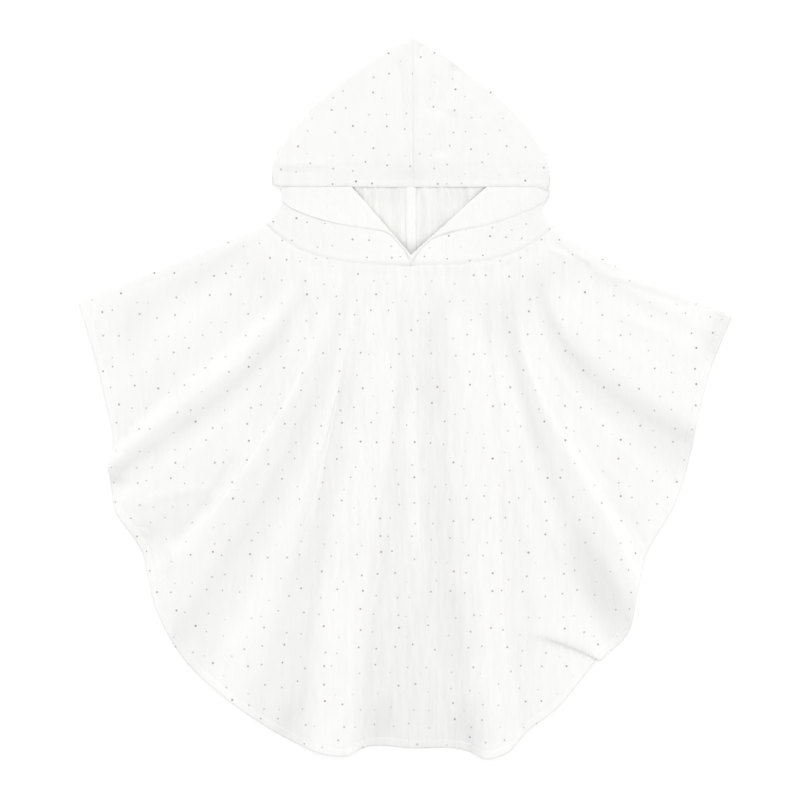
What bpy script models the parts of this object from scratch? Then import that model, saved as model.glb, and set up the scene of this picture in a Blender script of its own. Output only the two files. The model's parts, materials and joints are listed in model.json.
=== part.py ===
"""A child's hooded poncho towel of cotton muslin, laid on its back with the front up.

The front and back panels are joined at the shoulders and open all round the sleeves, sides and hem.
The hood is two halves joined by a centre seam, which a narrow binding covers on the inside. The hood's
front edge crosses the forehead, turns round at each side and comes down to the neck folded outward.

Metres, +Z up. Y runs from the hem to the tip of the hood, and X from the left sleeve to the right one, as
they lie when seen from above with the hood at the top. Z = 0 is the surface that the poncho lies on, and
the origin is at the middle of the base of the box round it.
"""

from collections import namedtuple

import bpy
import numpy as np

MM = 0.001

# Cloth
WALL = 1.2 * MM
SEAM_GAP = 0.4 * MM
NECK_GAP = 0.7 * MM  # a little wider, as the two curved edges are faceted differently
LAYER_STEP = 2.9 * MM  # from the middle of one folded layer to the middle of the next
FLOOR_LAYER_Z = WALL / 2

# Neck and shoulders
CENTRE_X = 5.5 * MM
NECK_HALF = 145 * MM
NECK_SIDE_Y = 172 * MM
NECK_DROP = 40.5 * MM
NECK_POWER = 3.7
NECK_SIDE_Z = FLOOR_LAYER_Z + LAYER_STEP
NECK_RISE = 4.2 * MM

# Front and back panels
FOLD_MIDDLE = 0.45  # how far down a fold its middle height lies
PANEL_ROWS = 14
COLUMN_WIDTH = 18 * MM
BACK_INSET = 4 * MM
BACK_ROWS = 3

# Hood
FOREHEAD_Y = 210.5 * MM
APEX_Y = 363 * MM
CROWN_HALF = 138.5 * MM
CROWN_WIDEST_Y = 217.5 * MM
CROWN_SIDE_ARM = 50 * MM  # how far up the outline goes on from its widest point before it turns in
CROWN_TIP_ARM = 37 * MM  # and how far below the tip it starts to straighten
CROWN_SIDE_SWELL = 1.025
CROWN_TIP_SWELL = 0.44
FOREHEAD_DROOP = 11 * MM
DROOP_START = 0.9
FACE_POINT_LEVEL = 0.13
TUCK_HEIGHT = 38 * MM
FOREHEAD_Z = 13.2 * MM
CROWN_TIP_Z = 4.6 * MM
TIP_SIDE_Z = 3.6 * MM
CROWN_SINK_POWER = 1.5
FOLD_TOP_Z = FLOOR_LAYER_Z + 3 * LAYER_STEP
BEND = 6 * MM  # how far from a fold its cloth starts to turn
BULGE = 0.24 * MM
LAPEL_BEND = 0.35  # most of the lapel's width that its rolled edges take
LOWER_ROWS = 10
CROWN_TURNS = (0, 0.05, 0.1, 0.13, 0.16, 0.26, 0.37, 0.48, 0.59, 0.7, 0.8, 0.89, 0.96)
# Where a row's points lie along its control points: close together at the folds.
LOWER_PLACES = (0, 1, 2, 3, 3.6, 4.2, 4.8, 5.5, 7, 8, 8.7, 9.2, 9.8, 10.4, 11, 12, 13, 14)
CROWN_PLACES = (14.5, 15.2, 16, 17, 18, 19, 20)
# Where the control points of the back and crown layers lie, as shares of the way to the side fold.
BACK_SHARES = (0.35, 0.7, 1)
CROWN_SHARES = (1, 0.75, 0.5, 0.25)

# Binding
BINDING_WIDTH = 9.5 * MM
BINDING_THICK = 1.0 * MM
BINDING_TURN = 20 * MM  # how far below the tip it turns back
BINDING_NECK_INSET = 1 * MM
BINDING_HEM_INSET = 2 * MM
BINDING_UP_ROWS = 8
BINDING_TURN_ROWS = 6
BINDING_DOWN_ROWS = 10

# One row for each line where the cloth of a panel crests, dips or turns, from the left shoulder seam round
# by the hem to the right one. neck_x is where it leaves the neckline; hem_x and hem_y are where it meets the
# free edge; near_bow and far_bow are how far it bends to its left at one and two thirds of its length, seen
# from the neck; middle_z and hem_z are the heights of the front panel there. All in millimetres.
Fold = namedtuple("Fold", "name neck_x hem_x hem_y near_bow far_bow middle_z hem_z")
FOLDS = (
    Fold("left shoulder", -138.5, -327, 96, -0.5, 0.5, 2.3, 2.3),
    Fold("left shoulder turn", -134.5, -317, 57, 0.5, 1.5, 4.6, 5.8),
    Fold("left sleeve", -125.5, -302, -2, 3, 3, 7.6, 7.2),
    Fold("left cuff dip", -108, -294, -50, 13.5, 2, 6.4, 6.0),
    Fold("left cuff ridge", -97, -299, -68, 22, 12, 11.0, 10.4),
    Fold("left cuff valley", -88, -294, -86, 29, 22, 3.0, 2.6),
    Fold("left flap", -80, -293, -110, 32, 28, 6.2, 7.6),
    Fold("left side dip", -73, -266, -152, 28, 33, 6.0, 3.0),
    Fold("left side ridge", -66, -251, -208, 21, 13, 13.4, 12.8),
    Fold("left side valley", -57, -224, -256, 24, 18, 3.0, 2.6),
    Fold("left broad ridge", -48, -180, -303, 17, 12, 9.0, 9.0),
    Fold("left hem dip", -42, -143, -330, 3, 1, 6.4, 3.0),
    Fold("left hem valley", -36, -109, -347, -4, -8, 3.2, 2.6),
    Fold("left hem ridge, outer", -30, -88, -357, 12, -1, 12.0, 13.6),
    Fold("left hem ridge, inner", -22, -54, -360, 17, 3, 13.4, 14.0),
    Fold("middle valley", -11, -39, -350, 14, 8, 4.6, 2.6),
    Fold("middle rise", 6, 7, -350, 2, 3, 7.6, 2.7),
    Fold("right hem valley", 31, 63, -353, -10, -10, 3.2, 2.6),
    Fold("right hem ridge, inner", 46, 79, -361, 6, 8, 13.0, 14.4),
    Fold("right hem ridge, outer", 58, 100, -357, 9, 8, 13.4, 12.8),
    Fold("right hem dip", 69, 121, -334, 5, 0, 6.0, 5.2),
    Fold("right broad rise", 79, 150, -315, -5, 0, 8.2, 7.0),
    Fold("right hem shoulder", 89, 195, -265, -18, -13, 7.2, 8.2),
    Fold("right side valley", 101, 221, -237, -28, -23, 4.0, 2.6),
    Fold("right side ridge", 119, 234, -190, -34, -17, 11.6, 13.0),
    Fold("right side dip", 122.5, 242, -159, -36, -22, 9.2, 6.6),
    Fold("right side rise", 125.5, 270, -108, -40, -28, 7.6, 7.8),
    Fold("right cuff valley", 128.5, 287, -50, -40, -34, 3.2, 2.6),
    Fold("right cuff ridge", 134, 293, -24, -35, -26, 9.4, 8.8),
    Fold("right sleeve", 139.5, 306, 28, -16, -10, 7.8, 7.4),
    Fold("right shoulder turn", 144, 318, 56, -9, -6.5, 4.6, 5.8),
    Fold("right shoulder", 147.5, 327, 81, -6, -4, 2.3, 2.3),
)

# The two hood halves: which side of the centre each is on; how far the roll beside the face opening would
# reach from the neckline to the forehead; and the waist in its side fold between shoulder and crown, as its
# level, its depth and how far it spreads down and up from there. Millimetres, but for the shares.
Half = namedtuple("Half", "name side roll_reach waist_level waist_depth spread_down spread_up")
HALVES = (
    Half("hood_left", -1, 69, 0.73, 12, 0.38, 0.42),
    Half("hood_right", 1, 88, 0.57, 10, 0.45, 0.20),
)

# The free edge of the outward fold below the forehead: how far up from the neckline towards the forehead,
# as a share, and how far from the centre line in millimetres.
LapelEdge = namedtuple("LapelEdge", "level out")
LAPEL_EDGE = (
    LapelEdge(0.00, 3),
    LapelEdge(0.20, 12),
    LapelEdge(0.30, 25),
    LapelEdge(0.40, 41),
    LapelEdge(0.52, 66),
    LapelEdge(0.60, 110),
    LapelEdge(0.66, 127),
)


def clear_scene():
    for old in list(bpy.data.objects):
        bpy.data.objects.remove(old, do_unlink=True)


def smooth(share):
    """An ease from 0 to 1 with a level start and end: 3s^2 - 2s^3."""
    share = np.clip(share, 0, 1)
    return share * share * (3 - 2 * share)


def curve_through(knots, values, places):
    """A curve through the values: each stretch is a cubic whose end slopes are those of its neighbours."""
    values = np.asarray(values, float)
    slopes = np.gradient(values, knots, axis=0)
    stretch = np.clip(np.searchsorted(knots, places, side="right") - 1, 0, len(knots) - 2)
    length = knots[stretch + 1] - knots[stretch]
    share = (places - knots[stretch]) / length
    shape = (-1,) + (1,) * (values.ndim - 1)
    s, length = share.reshape(shape), length.reshape(shape)
    start = (2 * s**3 - 3 * s**2 + 1) * values[stretch] + (s**3 - 2 * s**2 + s) * length * slopes[stretch]
    end = (3 * s**2 - 2 * s**3) * values[stretch + 1] + (s**3 - s**2) * length * slopes[stretch + 1]
    return start + end


def eased_through(knots, values, places):
    """A curve through the values that is level at each of them, as a fold's crest or valley is."""
    stretch = np.clip(np.searchsorted(knots, places, side="right") - 1, 0, len(knots) - 2)
    share = smooth((places - knots[stretch]) / (knots[stretch + 1] - knots[stretch]))
    share = share.reshape((-1,) + (1,) * (values.ndim - 1))
    return values[stretch] * (1 - share) + values[stretch + 1] * share


def neckline_y(x):
    """The neck seam in plan: level across the centre, rising to the shoulders as a power of the distance."""
    out = np.clip(np.abs(x - CENTRE_X) / NECK_HALF, 0, 1)
    return NECK_SIDE_Y - NECK_DROP * (1 - out**NECK_POWER)


def neckline_z(x):
    """The height of the front neck seam: highest at the centre, down to the folded sides."""
    out = np.clip(np.abs(x - CENTRE_X) / NECK_HALF, 0, 1)
    return NECK_SIDE_Z + NECK_RISE * (1 - out**2)


def fold_lines(shares):
    """Each fold's line in plan at the given shares of its length, neck to free edge: folds, shares, xy."""
    neck_x = np.array([fold.neck_x for fold in FOLDS]) * MM
    root = np.stack([neck_x, neckline_y(neck_x) - NECK_GAP], -1)
    tip = np.array([(fold.hem_x, fold.hem_y) for fold in FOLDS]) * MM
    along = (tip - root) / np.linalg.norm(tip - root, axis=1, keepdims=True)
    left = np.stack([-along[:, 1], along[:, 0]], -1)
    near = np.array([[fold.near_bow] for fold in FOLDS]) * MM
    far = np.array([[fold.far_bow] for fold in FOLDS]) * MM
    first = root + (tip - root) / 3 + left * (3 * near - 1.5 * far)
    second = root + (tip - root) * 2 / 3 + left * (3 * far - 1.5 * near)
    s = shares[None, :, None]
    corners = [point[:, None, :] for point in (root, first, second, tip)]
    return (
        corners[0] * (1 - s) ** 3
        + corners[1] * 3 * s * (1 - s) ** 2
        + corners[2] * 3 * s**2 * (1 - s)
        + corners[3] * s**3
    )


def fold_heights(shares):
    """The front panel's height along each fold line: from the neck seam to its middle and on to its hem."""
    neck = neckline_z(np.array([fold.neck_x for fold in FOLDS]) * MM)[:, None]
    middle = np.array([[fold.middle_z] for fold in FOLDS]) * MM
    hem = np.array([[fold.hem_z] for fold in FOLDS]) * MM
    to_middle = smooth(shares / FOLD_MIDDLE)[None, :]
    to_hem = smooth((shares - FOLD_MIDDLE) / (1 - FOLD_MIDDLE))[None, :]
    return neck * (1 - to_middle) + middle * (to_middle - to_hem) + hem * to_hem


def hem_knots():
    """The distance round the free edge to each fold's end."""
    tips = np.array([(fold.hem_x, fold.hem_y) for fold in FOLDS]) * MM
    return np.concatenate([[0], np.cumsum(np.linalg.norm(np.diff(tips, axis=0), axis=1))])


def column_places(knots, width, least):
    """Places round the free edge: each fold's end, with even steps of about width between them."""
    places = [knots[:1]]
    for start, end in zip(knots[:-1], knots[1:]):
        steps = max(least, round((end - start) / width))
        places.append(np.linspace(start, end, steps + 1)[1:])
    return np.concatenate(places)


def front_grid():
    """The middle surface of the front panel, as columns from shoulder to shoulder and rows to the hem."""
    shares = np.linspace(0, 1, PANEL_ROWS + 1)
    knots = hem_knots()
    places = column_places(knots, COLUMN_WIDTH, 2)
    plan = curve_through(knots, fold_lines(shares), places)
    height = eased_through(knots, fold_heights(shares), places)
    return np.concatenate([plan, height[..., None]], -1)


def back_grid():
    """The back panel: the front's outline drawn in a little at the free edge, flat on the surface."""
    shares = np.linspace(0, 1, BACK_ROWS + 1)
    knots = hem_knots()
    plan = curve_through(knots, fold_lines(shares), column_places(knots, 2 * COLUMN_WIDTH, 1))
    length = np.linalg.norm(plan[:, -1] - plan[:, 0], axis=1)
    keep = 1 - (BACK_INSET / length)[:, None, None] * smooth(shares)[None, :, None]
    plan = plan[:, :1] + (plan - plan[:, :1]) * keep
    height = np.full(plan.shape[:2] + (1,), FLOOR_LAYER_Z)
    return np.concatenate([plan, height], -1)


def crown_outline(turn):
    """The crown's outline from its widest point (0) to the tip (1), as distance out and Y: one Bezier arc."""
    out = (CROWN_HALF, CROWN_SIDE_SWELL * CROWN_HALF, CROWN_TIP_SWELL * CROWN_HALF, 0)
    up = (CROWN_WIDEST_Y, CROWN_WIDEST_Y + CROWN_SIDE_ARM, APEX_Y - CROWN_TIP_ARM, APEX_Y)
    weights = ((1 - turn) ** 3, 3 * turn * (1 - turn) ** 2, 3 * turn**2 * (1 - turn), turn**3)
    return (
        sum(weight * value for weight, value in zip(weights, out)),
        sum(weight * value for weight, value in zip(weights, up)),
    )


def hood_rows(side_half):
    """The rows of a hood half, each as its level (0 neckline, 1 forehead, 2 tip) and its half width."""
    below = np.linspace(0, 1, LOWER_ROWS + 1)
    from_waist = below - side_half.waist_level
    from_waist /= np.where(from_waist < 0, side_half.spread_down, side_half.spread_up)
    side = NECK_HALF + (CROWN_HALF - NECK_HALF) * below - side_half.waist_depth * MM * np.exp(-(from_waist**2))
    half, y = crown_outline(np.array(CROWN_TURNS))
    above = 1 + (y - FOREHEAD_Y) / (APEX_Y - FOREHEAD_Y)
    return list(zip(below, side)) + list(zip(above, half))


def hood_row_y(level, out):
    """Y of a row at distances out: it passes from the neckline's curve to the forehead edge to level lines.
    The forehead edge droops in its last few millimetres at each side."""
    droop = FOREHEAD_DROOP * smooth((out / CROWN_HALF - DROOP_START) / (1 - DROOP_START))
    if level <= 1:
        return neckline_y(CENTRE_X + out) * (1 - level) + (FOREHEAD_Y - droop) * level
    rise = (level - 1) * (APEX_Y - FOREHEAD_Y)
    return FOREHEAD_Y + rise - droop * (1 - smooth(rise / TUCK_HEIGHT))


def crown_heights(level):
    """The height of the crown layer at the centre line and at the side fold, sinking towards the tip."""
    sink = max(level - 1, 0) ** CROWN_SINK_POWER
    middle = FOREHEAD_Z + (CROWN_TIP_Z - FOREHEAD_Z) * sink
    side = FOLD_TOP_Z + (TIP_SIDE_Z - FOLD_TOP_Z) * sink
    return middle, side


def hood_section(side_half, level, half):
    """The control points of a row, as distance out and height. From the back seam the cloth lies on the
    surface to the side fold, comes back over itself to the roll beside the face opening, folds outward there
    to the side again, and then crosses over the head to the crown seam. Above the forehead the middle two
    layers are a tuck that shrinks to nothing, so the side becomes a single fold."""
    reach = side_half.roll_reach * MM
    if level <= 1:
        roll = max(SEAM_GAP + WALL / 2, reach * (level - FACE_POINT_LEVEL))
    else:
        at_forehead = reach * (1 - FACE_POINT_LEVEL)
        closing = smooth((level - 1) * (APEX_Y - FOREHEAD_Y) / TUCK_HEIGHT)
        roll = at_forehead * (1 - closing) + half * closing
    bend = min(BEND, half / 2)
    bulge = BULGE * bend / BEND
    tuck = smooth((half - roll) / (2 * bend))
    middle, side = crown_heights(level)
    step = (side - FLOOR_LAYER_Z) / 3

    def under(out):
        return FLOOR_LAYER_Z + step + NECK_RISE * tuck * (1 - min(out / half, 1) ** 2)

    def over(out):
        return side + (middle - side) * (1 - (out / half) ** 2)

    outer = half + bulge
    if level < LAPEL_EDGE[-1].level:
        edge = np.interp(level, [row.level for row in LAPEL_EDGE], [row.out for row in LAPEL_EDGE]) * MM
    else:
        last = LAPEL_EDGE[-1]
        edge = last.out * MM + (outer - last.out * MM) * min(1, (level - last.level) / (1 - last.level))
    inner_bend = min(bend * tuck, LAPEL_BEND * (edge - roll))
    between = (half + roll) / 2
    lapel_middle = (edge + roll) / 2

    points = [(SEAM_GAP / 2, FLOOR_LAYER_Z)]
    points += [(share * (half - bend), FLOOR_LAYER_Z) for share in BACK_SHARES]
    folded = [(outer, FLOOR_LAYER_Z), (outer, under(half))]
    folded += [(out, under(out)) for out in (half - bend * tuck, between, roll + bend * tuck)]
    folded += [(roll - bulge * tuck, under(roll)), (roll - bulge * tuck, under(roll) + step)]
    folded += [(out, under(out) + step) for out in (roll + inner_bend, lapel_middle, edge - inner_bend, edge)]
    folded += [(outer, side)]
    turn = np.linspace(-np.pi / 2, np.pi / 2, len(folded))
    single_out = outer - bend / 2 * (1 - np.cos(turn))
    single_z = (FLOOR_LAYER_Z + side) / 2 + 1.5 * step * np.sin(turn)
    folded = tuck * np.array(folded) + (1 - tuck) * np.stack([single_out, single_z], -1)
    if level < 1:
        return np.array(points + folded[:-1].tolist())
    across = [(share * (half - bend), over(share * (half - bend))) for share in CROWN_SHARES]
    return np.array(points + folded.tolist() + across + [(SEAM_GAP / 2, middle)])


def spline(points, places):
    """A uniform cubic B-spline that starts and ends at its first and last control points."""
    points = np.concatenate([[2 * points[0] - points[1]], points, [2 * points[-1] - points[-2]]])
    stretch = np.clip(np.floor(places).astype(int), 0, len(points) - 4)
    s = (places - stretch)[:, None]
    weights = ((1 - s) ** 3, 3 * s**3 - 6 * s**2 + 4, -3 * s**3 + 3 * s**2 + 3 * s + 1, s**3)
    return sum(weight * points[stretch + i] for i, weight in enumerate(weights)) / 6


def hood_half_grid(side_half):
    """One hood half as rows of points, from the back seam to the front edge or the crown seam. Rows below
    the forehead are shorter, because the cloth ends at the free edge there; their last points are empty."""
    rows = hood_rows(side_half)
    grid = np.full((len(rows), len(LOWER_PLACES) + len(CROWN_PLACES), 3), np.nan)
    for number, (level, half) in enumerate(rows):
        places = np.array(LOWER_PLACES + (CROWN_PLACES if level >= 1 else ()))
        section = spline(hood_section(side_half, level, half), places)
        grid[number, : len(places), 0] = CENTRE_X + side_half.side * section[:, 0]
        grid[number, : len(places), 1] = hood_row_y(level, section[:, 0])
        grid[number, : len(places), 2] = section[:, 1]
    return grid if side_half.side > 0 else grid[:, ::-1]


def binding_grid():
    """The tape along the inside of the centre seam: up the back layer, round under the tip and back under
    the crown to the forehead edge."""
    floor_z = WALL + SEAM_GAP + BINDING_THICK / 2
    turn_y = APEX_Y - BINDING_TURN
    up = np.linspace(neckline_y(CENTRE_X) + BINDING_NECK_INSET, turn_y, BINDING_UP_ROWS)
    down = np.linspace(turn_y, FOREHEAD_Y + BINDING_HEM_INSET, BINDING_DOWN_ROWS)
    level = 1 + (down - FOREHEAD_Y) / (APEX_Y - FOREHEAD_Y)
    under_crown = np.array([crown_heights(value)[0] for value in level]) - floor_z + FLOOR_LAYER_Z
    middle_z = (floor_z + under_crown[0]) / 2
    radius = (under_crown[0] - floor_z) / 2
    angles = np.linspace(-np.pi / 2, np.pi / 2, BINDING_TURN_ROWS)[1:-1]
    y = np.concatenate([up, turn_y + radius * np.cos(angles), down])
    z = np.concatenate([np.full(len(up), floor_z), middle_z + radius * np.sin(angles), under_crown])
    across = CENTRE_X + np.linspace(-BINDING_WIDTH / 2, BINDING_WIDTH / 2, 3)
    path = np.stack([y, z], -1)[:, None].repeat(3, 1)
    return np.concatenate([across[None, :, None].repeat(len(y), 0), path], -1)


def cloth(name, grid, thickness, material, collection):
    """Joins a grid of points into an open surface and gives it its thickness, half to each side."""
    present = ~np.isnan(grid[..., 0])
    number = np.where(present, np.cumsum(present).reshape(present.shape) - 1, -1)
    quads = np.stack([number[:-1, :-1], number[1:, :-1], number[1:, 1:], number[:-1, 1:]], -1)
    quads = quads.reshape(-1, 4)
    mesh = bpy.data.meshes.new(name)
    mesh.from_pydata(grid[present].tolist(), [], quads[(quads >= 0).all(axis=1)].tolist())
    mesh.materials.append(material)
    piece = bpy.data.objects.new(name, mesh)
    collection.objects.link(piece)
    wall = piece.modifiers.new("Wall", "SOLIDIFY")
    wall.thickness = thickness
    wall.offset = 0
    return piece


def plain_material(name, colour, roughness):
    material = bpy.data.materials.new(name)
    material.use_nodes = True
    shader = material.node_tree.nodes["Principled BSDF"]
    shader.inputs["Base Color"].default_value = (*colour, 1)
    shader.inputs["Roughness"].default_value = roughness
    shader.inputs["Metallic"].default_value = 0
    return material


def main():
    clear_scene()
    poncho = bpy.data.collections.new("hooded_poncho_towel")
    bpy.context.scene.collection.children.link(poncho)
    warm = plain_material("muslin_front", (0.92, 0.92, 0.90), 0.9)
    cool = plain_material("muslin_back", (0.89, 0.90, 0.90), 0.9)
    tape = plain_material("binding_tape", (0.94, 0.94, 0.93), 0.8)

    cloth("front_panel", front_grid(), WALL, warm, poncho)
    cloth("back_panel", back_grid(), WALL, cool, poncho)
    for side_half in HALVES:
        cloth(side_half.name, hood_half_grid(side_half), WALL, warm, poncho)
    cloth("hood_seam_binding", binding_grid(), BINDING_THICK, tape, poncho)


main()
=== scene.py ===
"""A child's hooded poncho towel of crinkled cotton muslin, laid flat with its front up.

Each panel of cloth is one surface worked out on a grid: where it lies comes from the folds' lines and
heights, then the creases, hems, seams and the crinkle of the gauze raise or lower it, and a wall is given to
both sides of it. Metres, +Z up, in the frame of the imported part. Left and right are as seen from above with
the hood at the top.
"""

import json
from collections import namedtuple

import bpy
import numpy as np
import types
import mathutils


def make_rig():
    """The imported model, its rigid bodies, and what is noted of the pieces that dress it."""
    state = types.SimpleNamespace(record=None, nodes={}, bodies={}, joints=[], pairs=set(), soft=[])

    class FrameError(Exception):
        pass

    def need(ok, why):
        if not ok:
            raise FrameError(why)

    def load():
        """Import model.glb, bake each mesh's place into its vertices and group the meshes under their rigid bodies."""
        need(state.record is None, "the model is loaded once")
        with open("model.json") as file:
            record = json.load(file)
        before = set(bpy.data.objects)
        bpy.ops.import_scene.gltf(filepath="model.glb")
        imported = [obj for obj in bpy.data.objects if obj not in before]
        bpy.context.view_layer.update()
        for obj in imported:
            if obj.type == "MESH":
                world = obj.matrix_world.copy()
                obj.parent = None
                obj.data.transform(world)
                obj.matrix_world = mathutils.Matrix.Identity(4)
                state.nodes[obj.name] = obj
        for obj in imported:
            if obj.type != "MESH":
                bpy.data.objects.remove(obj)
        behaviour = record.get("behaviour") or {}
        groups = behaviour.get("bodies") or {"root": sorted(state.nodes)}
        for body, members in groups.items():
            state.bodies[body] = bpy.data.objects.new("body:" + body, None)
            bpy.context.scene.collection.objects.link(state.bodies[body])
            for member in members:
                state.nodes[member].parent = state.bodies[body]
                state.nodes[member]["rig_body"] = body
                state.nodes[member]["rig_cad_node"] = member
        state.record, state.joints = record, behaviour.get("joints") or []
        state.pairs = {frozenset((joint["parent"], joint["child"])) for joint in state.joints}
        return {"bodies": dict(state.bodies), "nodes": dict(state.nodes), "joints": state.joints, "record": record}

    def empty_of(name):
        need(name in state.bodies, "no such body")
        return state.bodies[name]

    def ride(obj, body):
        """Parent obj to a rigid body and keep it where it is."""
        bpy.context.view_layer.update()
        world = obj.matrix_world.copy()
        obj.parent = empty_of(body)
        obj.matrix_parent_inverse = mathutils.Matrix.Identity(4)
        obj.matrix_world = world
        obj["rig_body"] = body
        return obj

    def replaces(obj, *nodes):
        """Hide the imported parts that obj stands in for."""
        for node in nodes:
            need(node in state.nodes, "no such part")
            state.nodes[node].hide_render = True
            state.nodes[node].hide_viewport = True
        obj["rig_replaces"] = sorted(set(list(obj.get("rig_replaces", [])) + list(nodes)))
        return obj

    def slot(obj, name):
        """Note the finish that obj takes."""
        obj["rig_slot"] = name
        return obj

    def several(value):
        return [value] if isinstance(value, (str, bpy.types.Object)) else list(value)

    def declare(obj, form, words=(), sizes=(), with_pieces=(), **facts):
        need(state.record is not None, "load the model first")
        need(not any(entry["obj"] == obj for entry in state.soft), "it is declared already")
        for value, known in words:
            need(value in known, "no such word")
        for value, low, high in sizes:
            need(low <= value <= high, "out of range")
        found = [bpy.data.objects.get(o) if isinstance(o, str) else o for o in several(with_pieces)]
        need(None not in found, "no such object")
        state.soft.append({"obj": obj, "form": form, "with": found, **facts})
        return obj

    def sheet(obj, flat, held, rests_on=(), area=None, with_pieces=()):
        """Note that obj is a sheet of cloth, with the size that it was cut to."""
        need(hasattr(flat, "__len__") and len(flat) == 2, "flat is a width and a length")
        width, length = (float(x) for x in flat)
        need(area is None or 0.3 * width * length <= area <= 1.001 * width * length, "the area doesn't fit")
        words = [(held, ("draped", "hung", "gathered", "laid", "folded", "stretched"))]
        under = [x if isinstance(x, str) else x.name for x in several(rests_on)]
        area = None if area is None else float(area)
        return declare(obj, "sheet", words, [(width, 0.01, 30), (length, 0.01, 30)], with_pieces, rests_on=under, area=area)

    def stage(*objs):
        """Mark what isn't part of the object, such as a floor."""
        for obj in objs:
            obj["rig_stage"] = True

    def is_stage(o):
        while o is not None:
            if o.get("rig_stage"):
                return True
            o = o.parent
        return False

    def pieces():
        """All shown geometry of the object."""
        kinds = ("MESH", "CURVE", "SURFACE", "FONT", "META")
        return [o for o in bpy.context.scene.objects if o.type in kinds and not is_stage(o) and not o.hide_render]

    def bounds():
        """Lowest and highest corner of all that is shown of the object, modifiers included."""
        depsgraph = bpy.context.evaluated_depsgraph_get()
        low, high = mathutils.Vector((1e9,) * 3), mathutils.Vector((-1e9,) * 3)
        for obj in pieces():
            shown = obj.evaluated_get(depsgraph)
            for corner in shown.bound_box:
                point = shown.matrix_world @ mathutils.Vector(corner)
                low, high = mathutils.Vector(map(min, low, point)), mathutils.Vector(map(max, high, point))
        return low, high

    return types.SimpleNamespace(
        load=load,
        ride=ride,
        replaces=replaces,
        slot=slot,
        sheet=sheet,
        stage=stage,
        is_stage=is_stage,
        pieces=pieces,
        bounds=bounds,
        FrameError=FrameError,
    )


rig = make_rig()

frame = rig.load()
FRAME_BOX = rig.bounds()

MM = 0.001
CENTRE_X = 5.5 * MM

# Cloth
WALL = 1.0 * MM
THIN_SHARE = 0.4  # of the wall, where the cloth is pressed
TAPE_WALL = 0.8 * MM
LAYER_STEP = 2.5 * MM  # from the middle of one folded layer of the hood to the next, at the neck seam
FOREHEAD_STEP = 1.65 * MM  # the same at the forehead
FLOOR_LAYER_Z = 0.6 * MM
FRONT_LOWEST_Z = 2.35 * MM

# Neck seam
NECK_HALF = 145 * MM
NECK_SIDE_Y = 172 * MM
NECK_DROP = 40.5 * MM
NECK_POWER = 3.7
NECK_SIDE_Z = FLOOR_LAYER_Z + LAYER_STEP - 0.25 * MM
NECK_RISE = 4.2 * MM
FOREHEAD_RISE_SHARE = 0.25
NECK_BAND_AT = 5 * MM  # the crest over the seam allowance, above the hood's lower edge
NECK_BAND_WIDTH = 4 * MM
NECK_BAND_RISE = 0.45 * MM
NECK_PRESS = 0.3 * MM  # how far the hood is drawn down at its lower edge
NECK_PRESS_REACH = 6 * MM
NECK_THIN_REACH = 4 * MM
NECK_TUCK = 5 * MM  # how far the front panel goes under that edge
NECK_TUCK_DROP = 0.2 * MM
NECK_SEAM_END = 2.4 * MM  # where the front panel has come up level again, below the seam
NECK_DIP = 0.45 * MM
NECK_DIP_AT = 10 * MM
NECK_DIP_WIDTH = 6 * MM

# Front and back panels
FOLD_MIDDLE = 0.45  # how far down a fold its middle height lies
FRONT_COLUMNS = 400
FRONT_ROWS = 104
BACK_COLUMNS = 260
BACK_ROWS = 56
BACK_INSET = 4 * MM
EDGE_REACH = 12 * MM  # the strip along the free edge that has its own close rows
EDGE_ROWS = 10
NECK_REACH = 14 * MM
NECK_ROWS = 8
BILLOW = 1.0 * MM  # slow rises and dips between the folds
BILLOW_SIZE = (34 * MM, 60 * MM)
BILLOW_START = 60 * MM  # below the neck seam
GATHER = 0.5 * MM  # little gathers below the neck seam
GATHER_SIZE = (4.5 * MM, 30 * MM)
GATHER_START = 4 * MM
GATHER_REACH = 28 * MM
FREE_Z = 1.6 * MM  # above this the front panel is free to crinkle
FREE_RISE = 3 * MM
WRINKLE = 0.5 * MM  # on the back panel, fading out at its edge
WRINKLE_SIZE = (26 * MM, 70 * MM)
WRINKLE_SHARE = 0.6
WRINKLE_FADE = 10 * MM

# The lower corner of the right cuff, which lies down on the back panel.
CUFF_PRESS = 5.5 * MM
CUFF_PRESS_FROM = (285 * MM, 20 * MM)
CUFF_PRESS_RAMP = 30 * MM
CUFF_PRESS_REACH = 26 * MM  # in from the free edge

# Hems
HEM_WIDTH = 7.5 * MM
HEM_RISE = 0.35 * MM
HEM_STEP = 1.6 * MM
PUCKER = 0.3 * MM
PUCKER_SIZE = (3.6 * MM, 16 * MM)
PUCKER_REACH = 7 * MM
STITCH_GROOVE = 0.3 * MM
STITCH_GROOVE_WIDTH = 1.1 * MM
STITCH_PITCH = 3.4 * MM
STITCH_LENGTH = 2.5 * MM
THREAD_RADIUS = 0.22 * MM

# A stitch from end to end: rings of so many points, each at a share of its length, and with its width and how
# far it stands above the cloth in thread radii; and the corners of the quads that close its two ends.
Ring = namedtuple("Ring", "along girth rise")
STITCH = (
    Ring(-0.5, 0.05, -1.2),
    Ring(-0.42, 0.75, -0.5),
    Ring(-0.2, 1, 0.1),
    Ring(0.2, 1, 0.1),
    Ring(0.42, 0.75, -0.5),
    Ring(0.5, 0.05, -1.2),
)
STITCH_SIDES = 6
STITCH_ENDS = ((0, 5, 4, 3), (0, 3, 2, 1), (30, 31, 32, 33), (30, 33, 34, 35))

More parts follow.
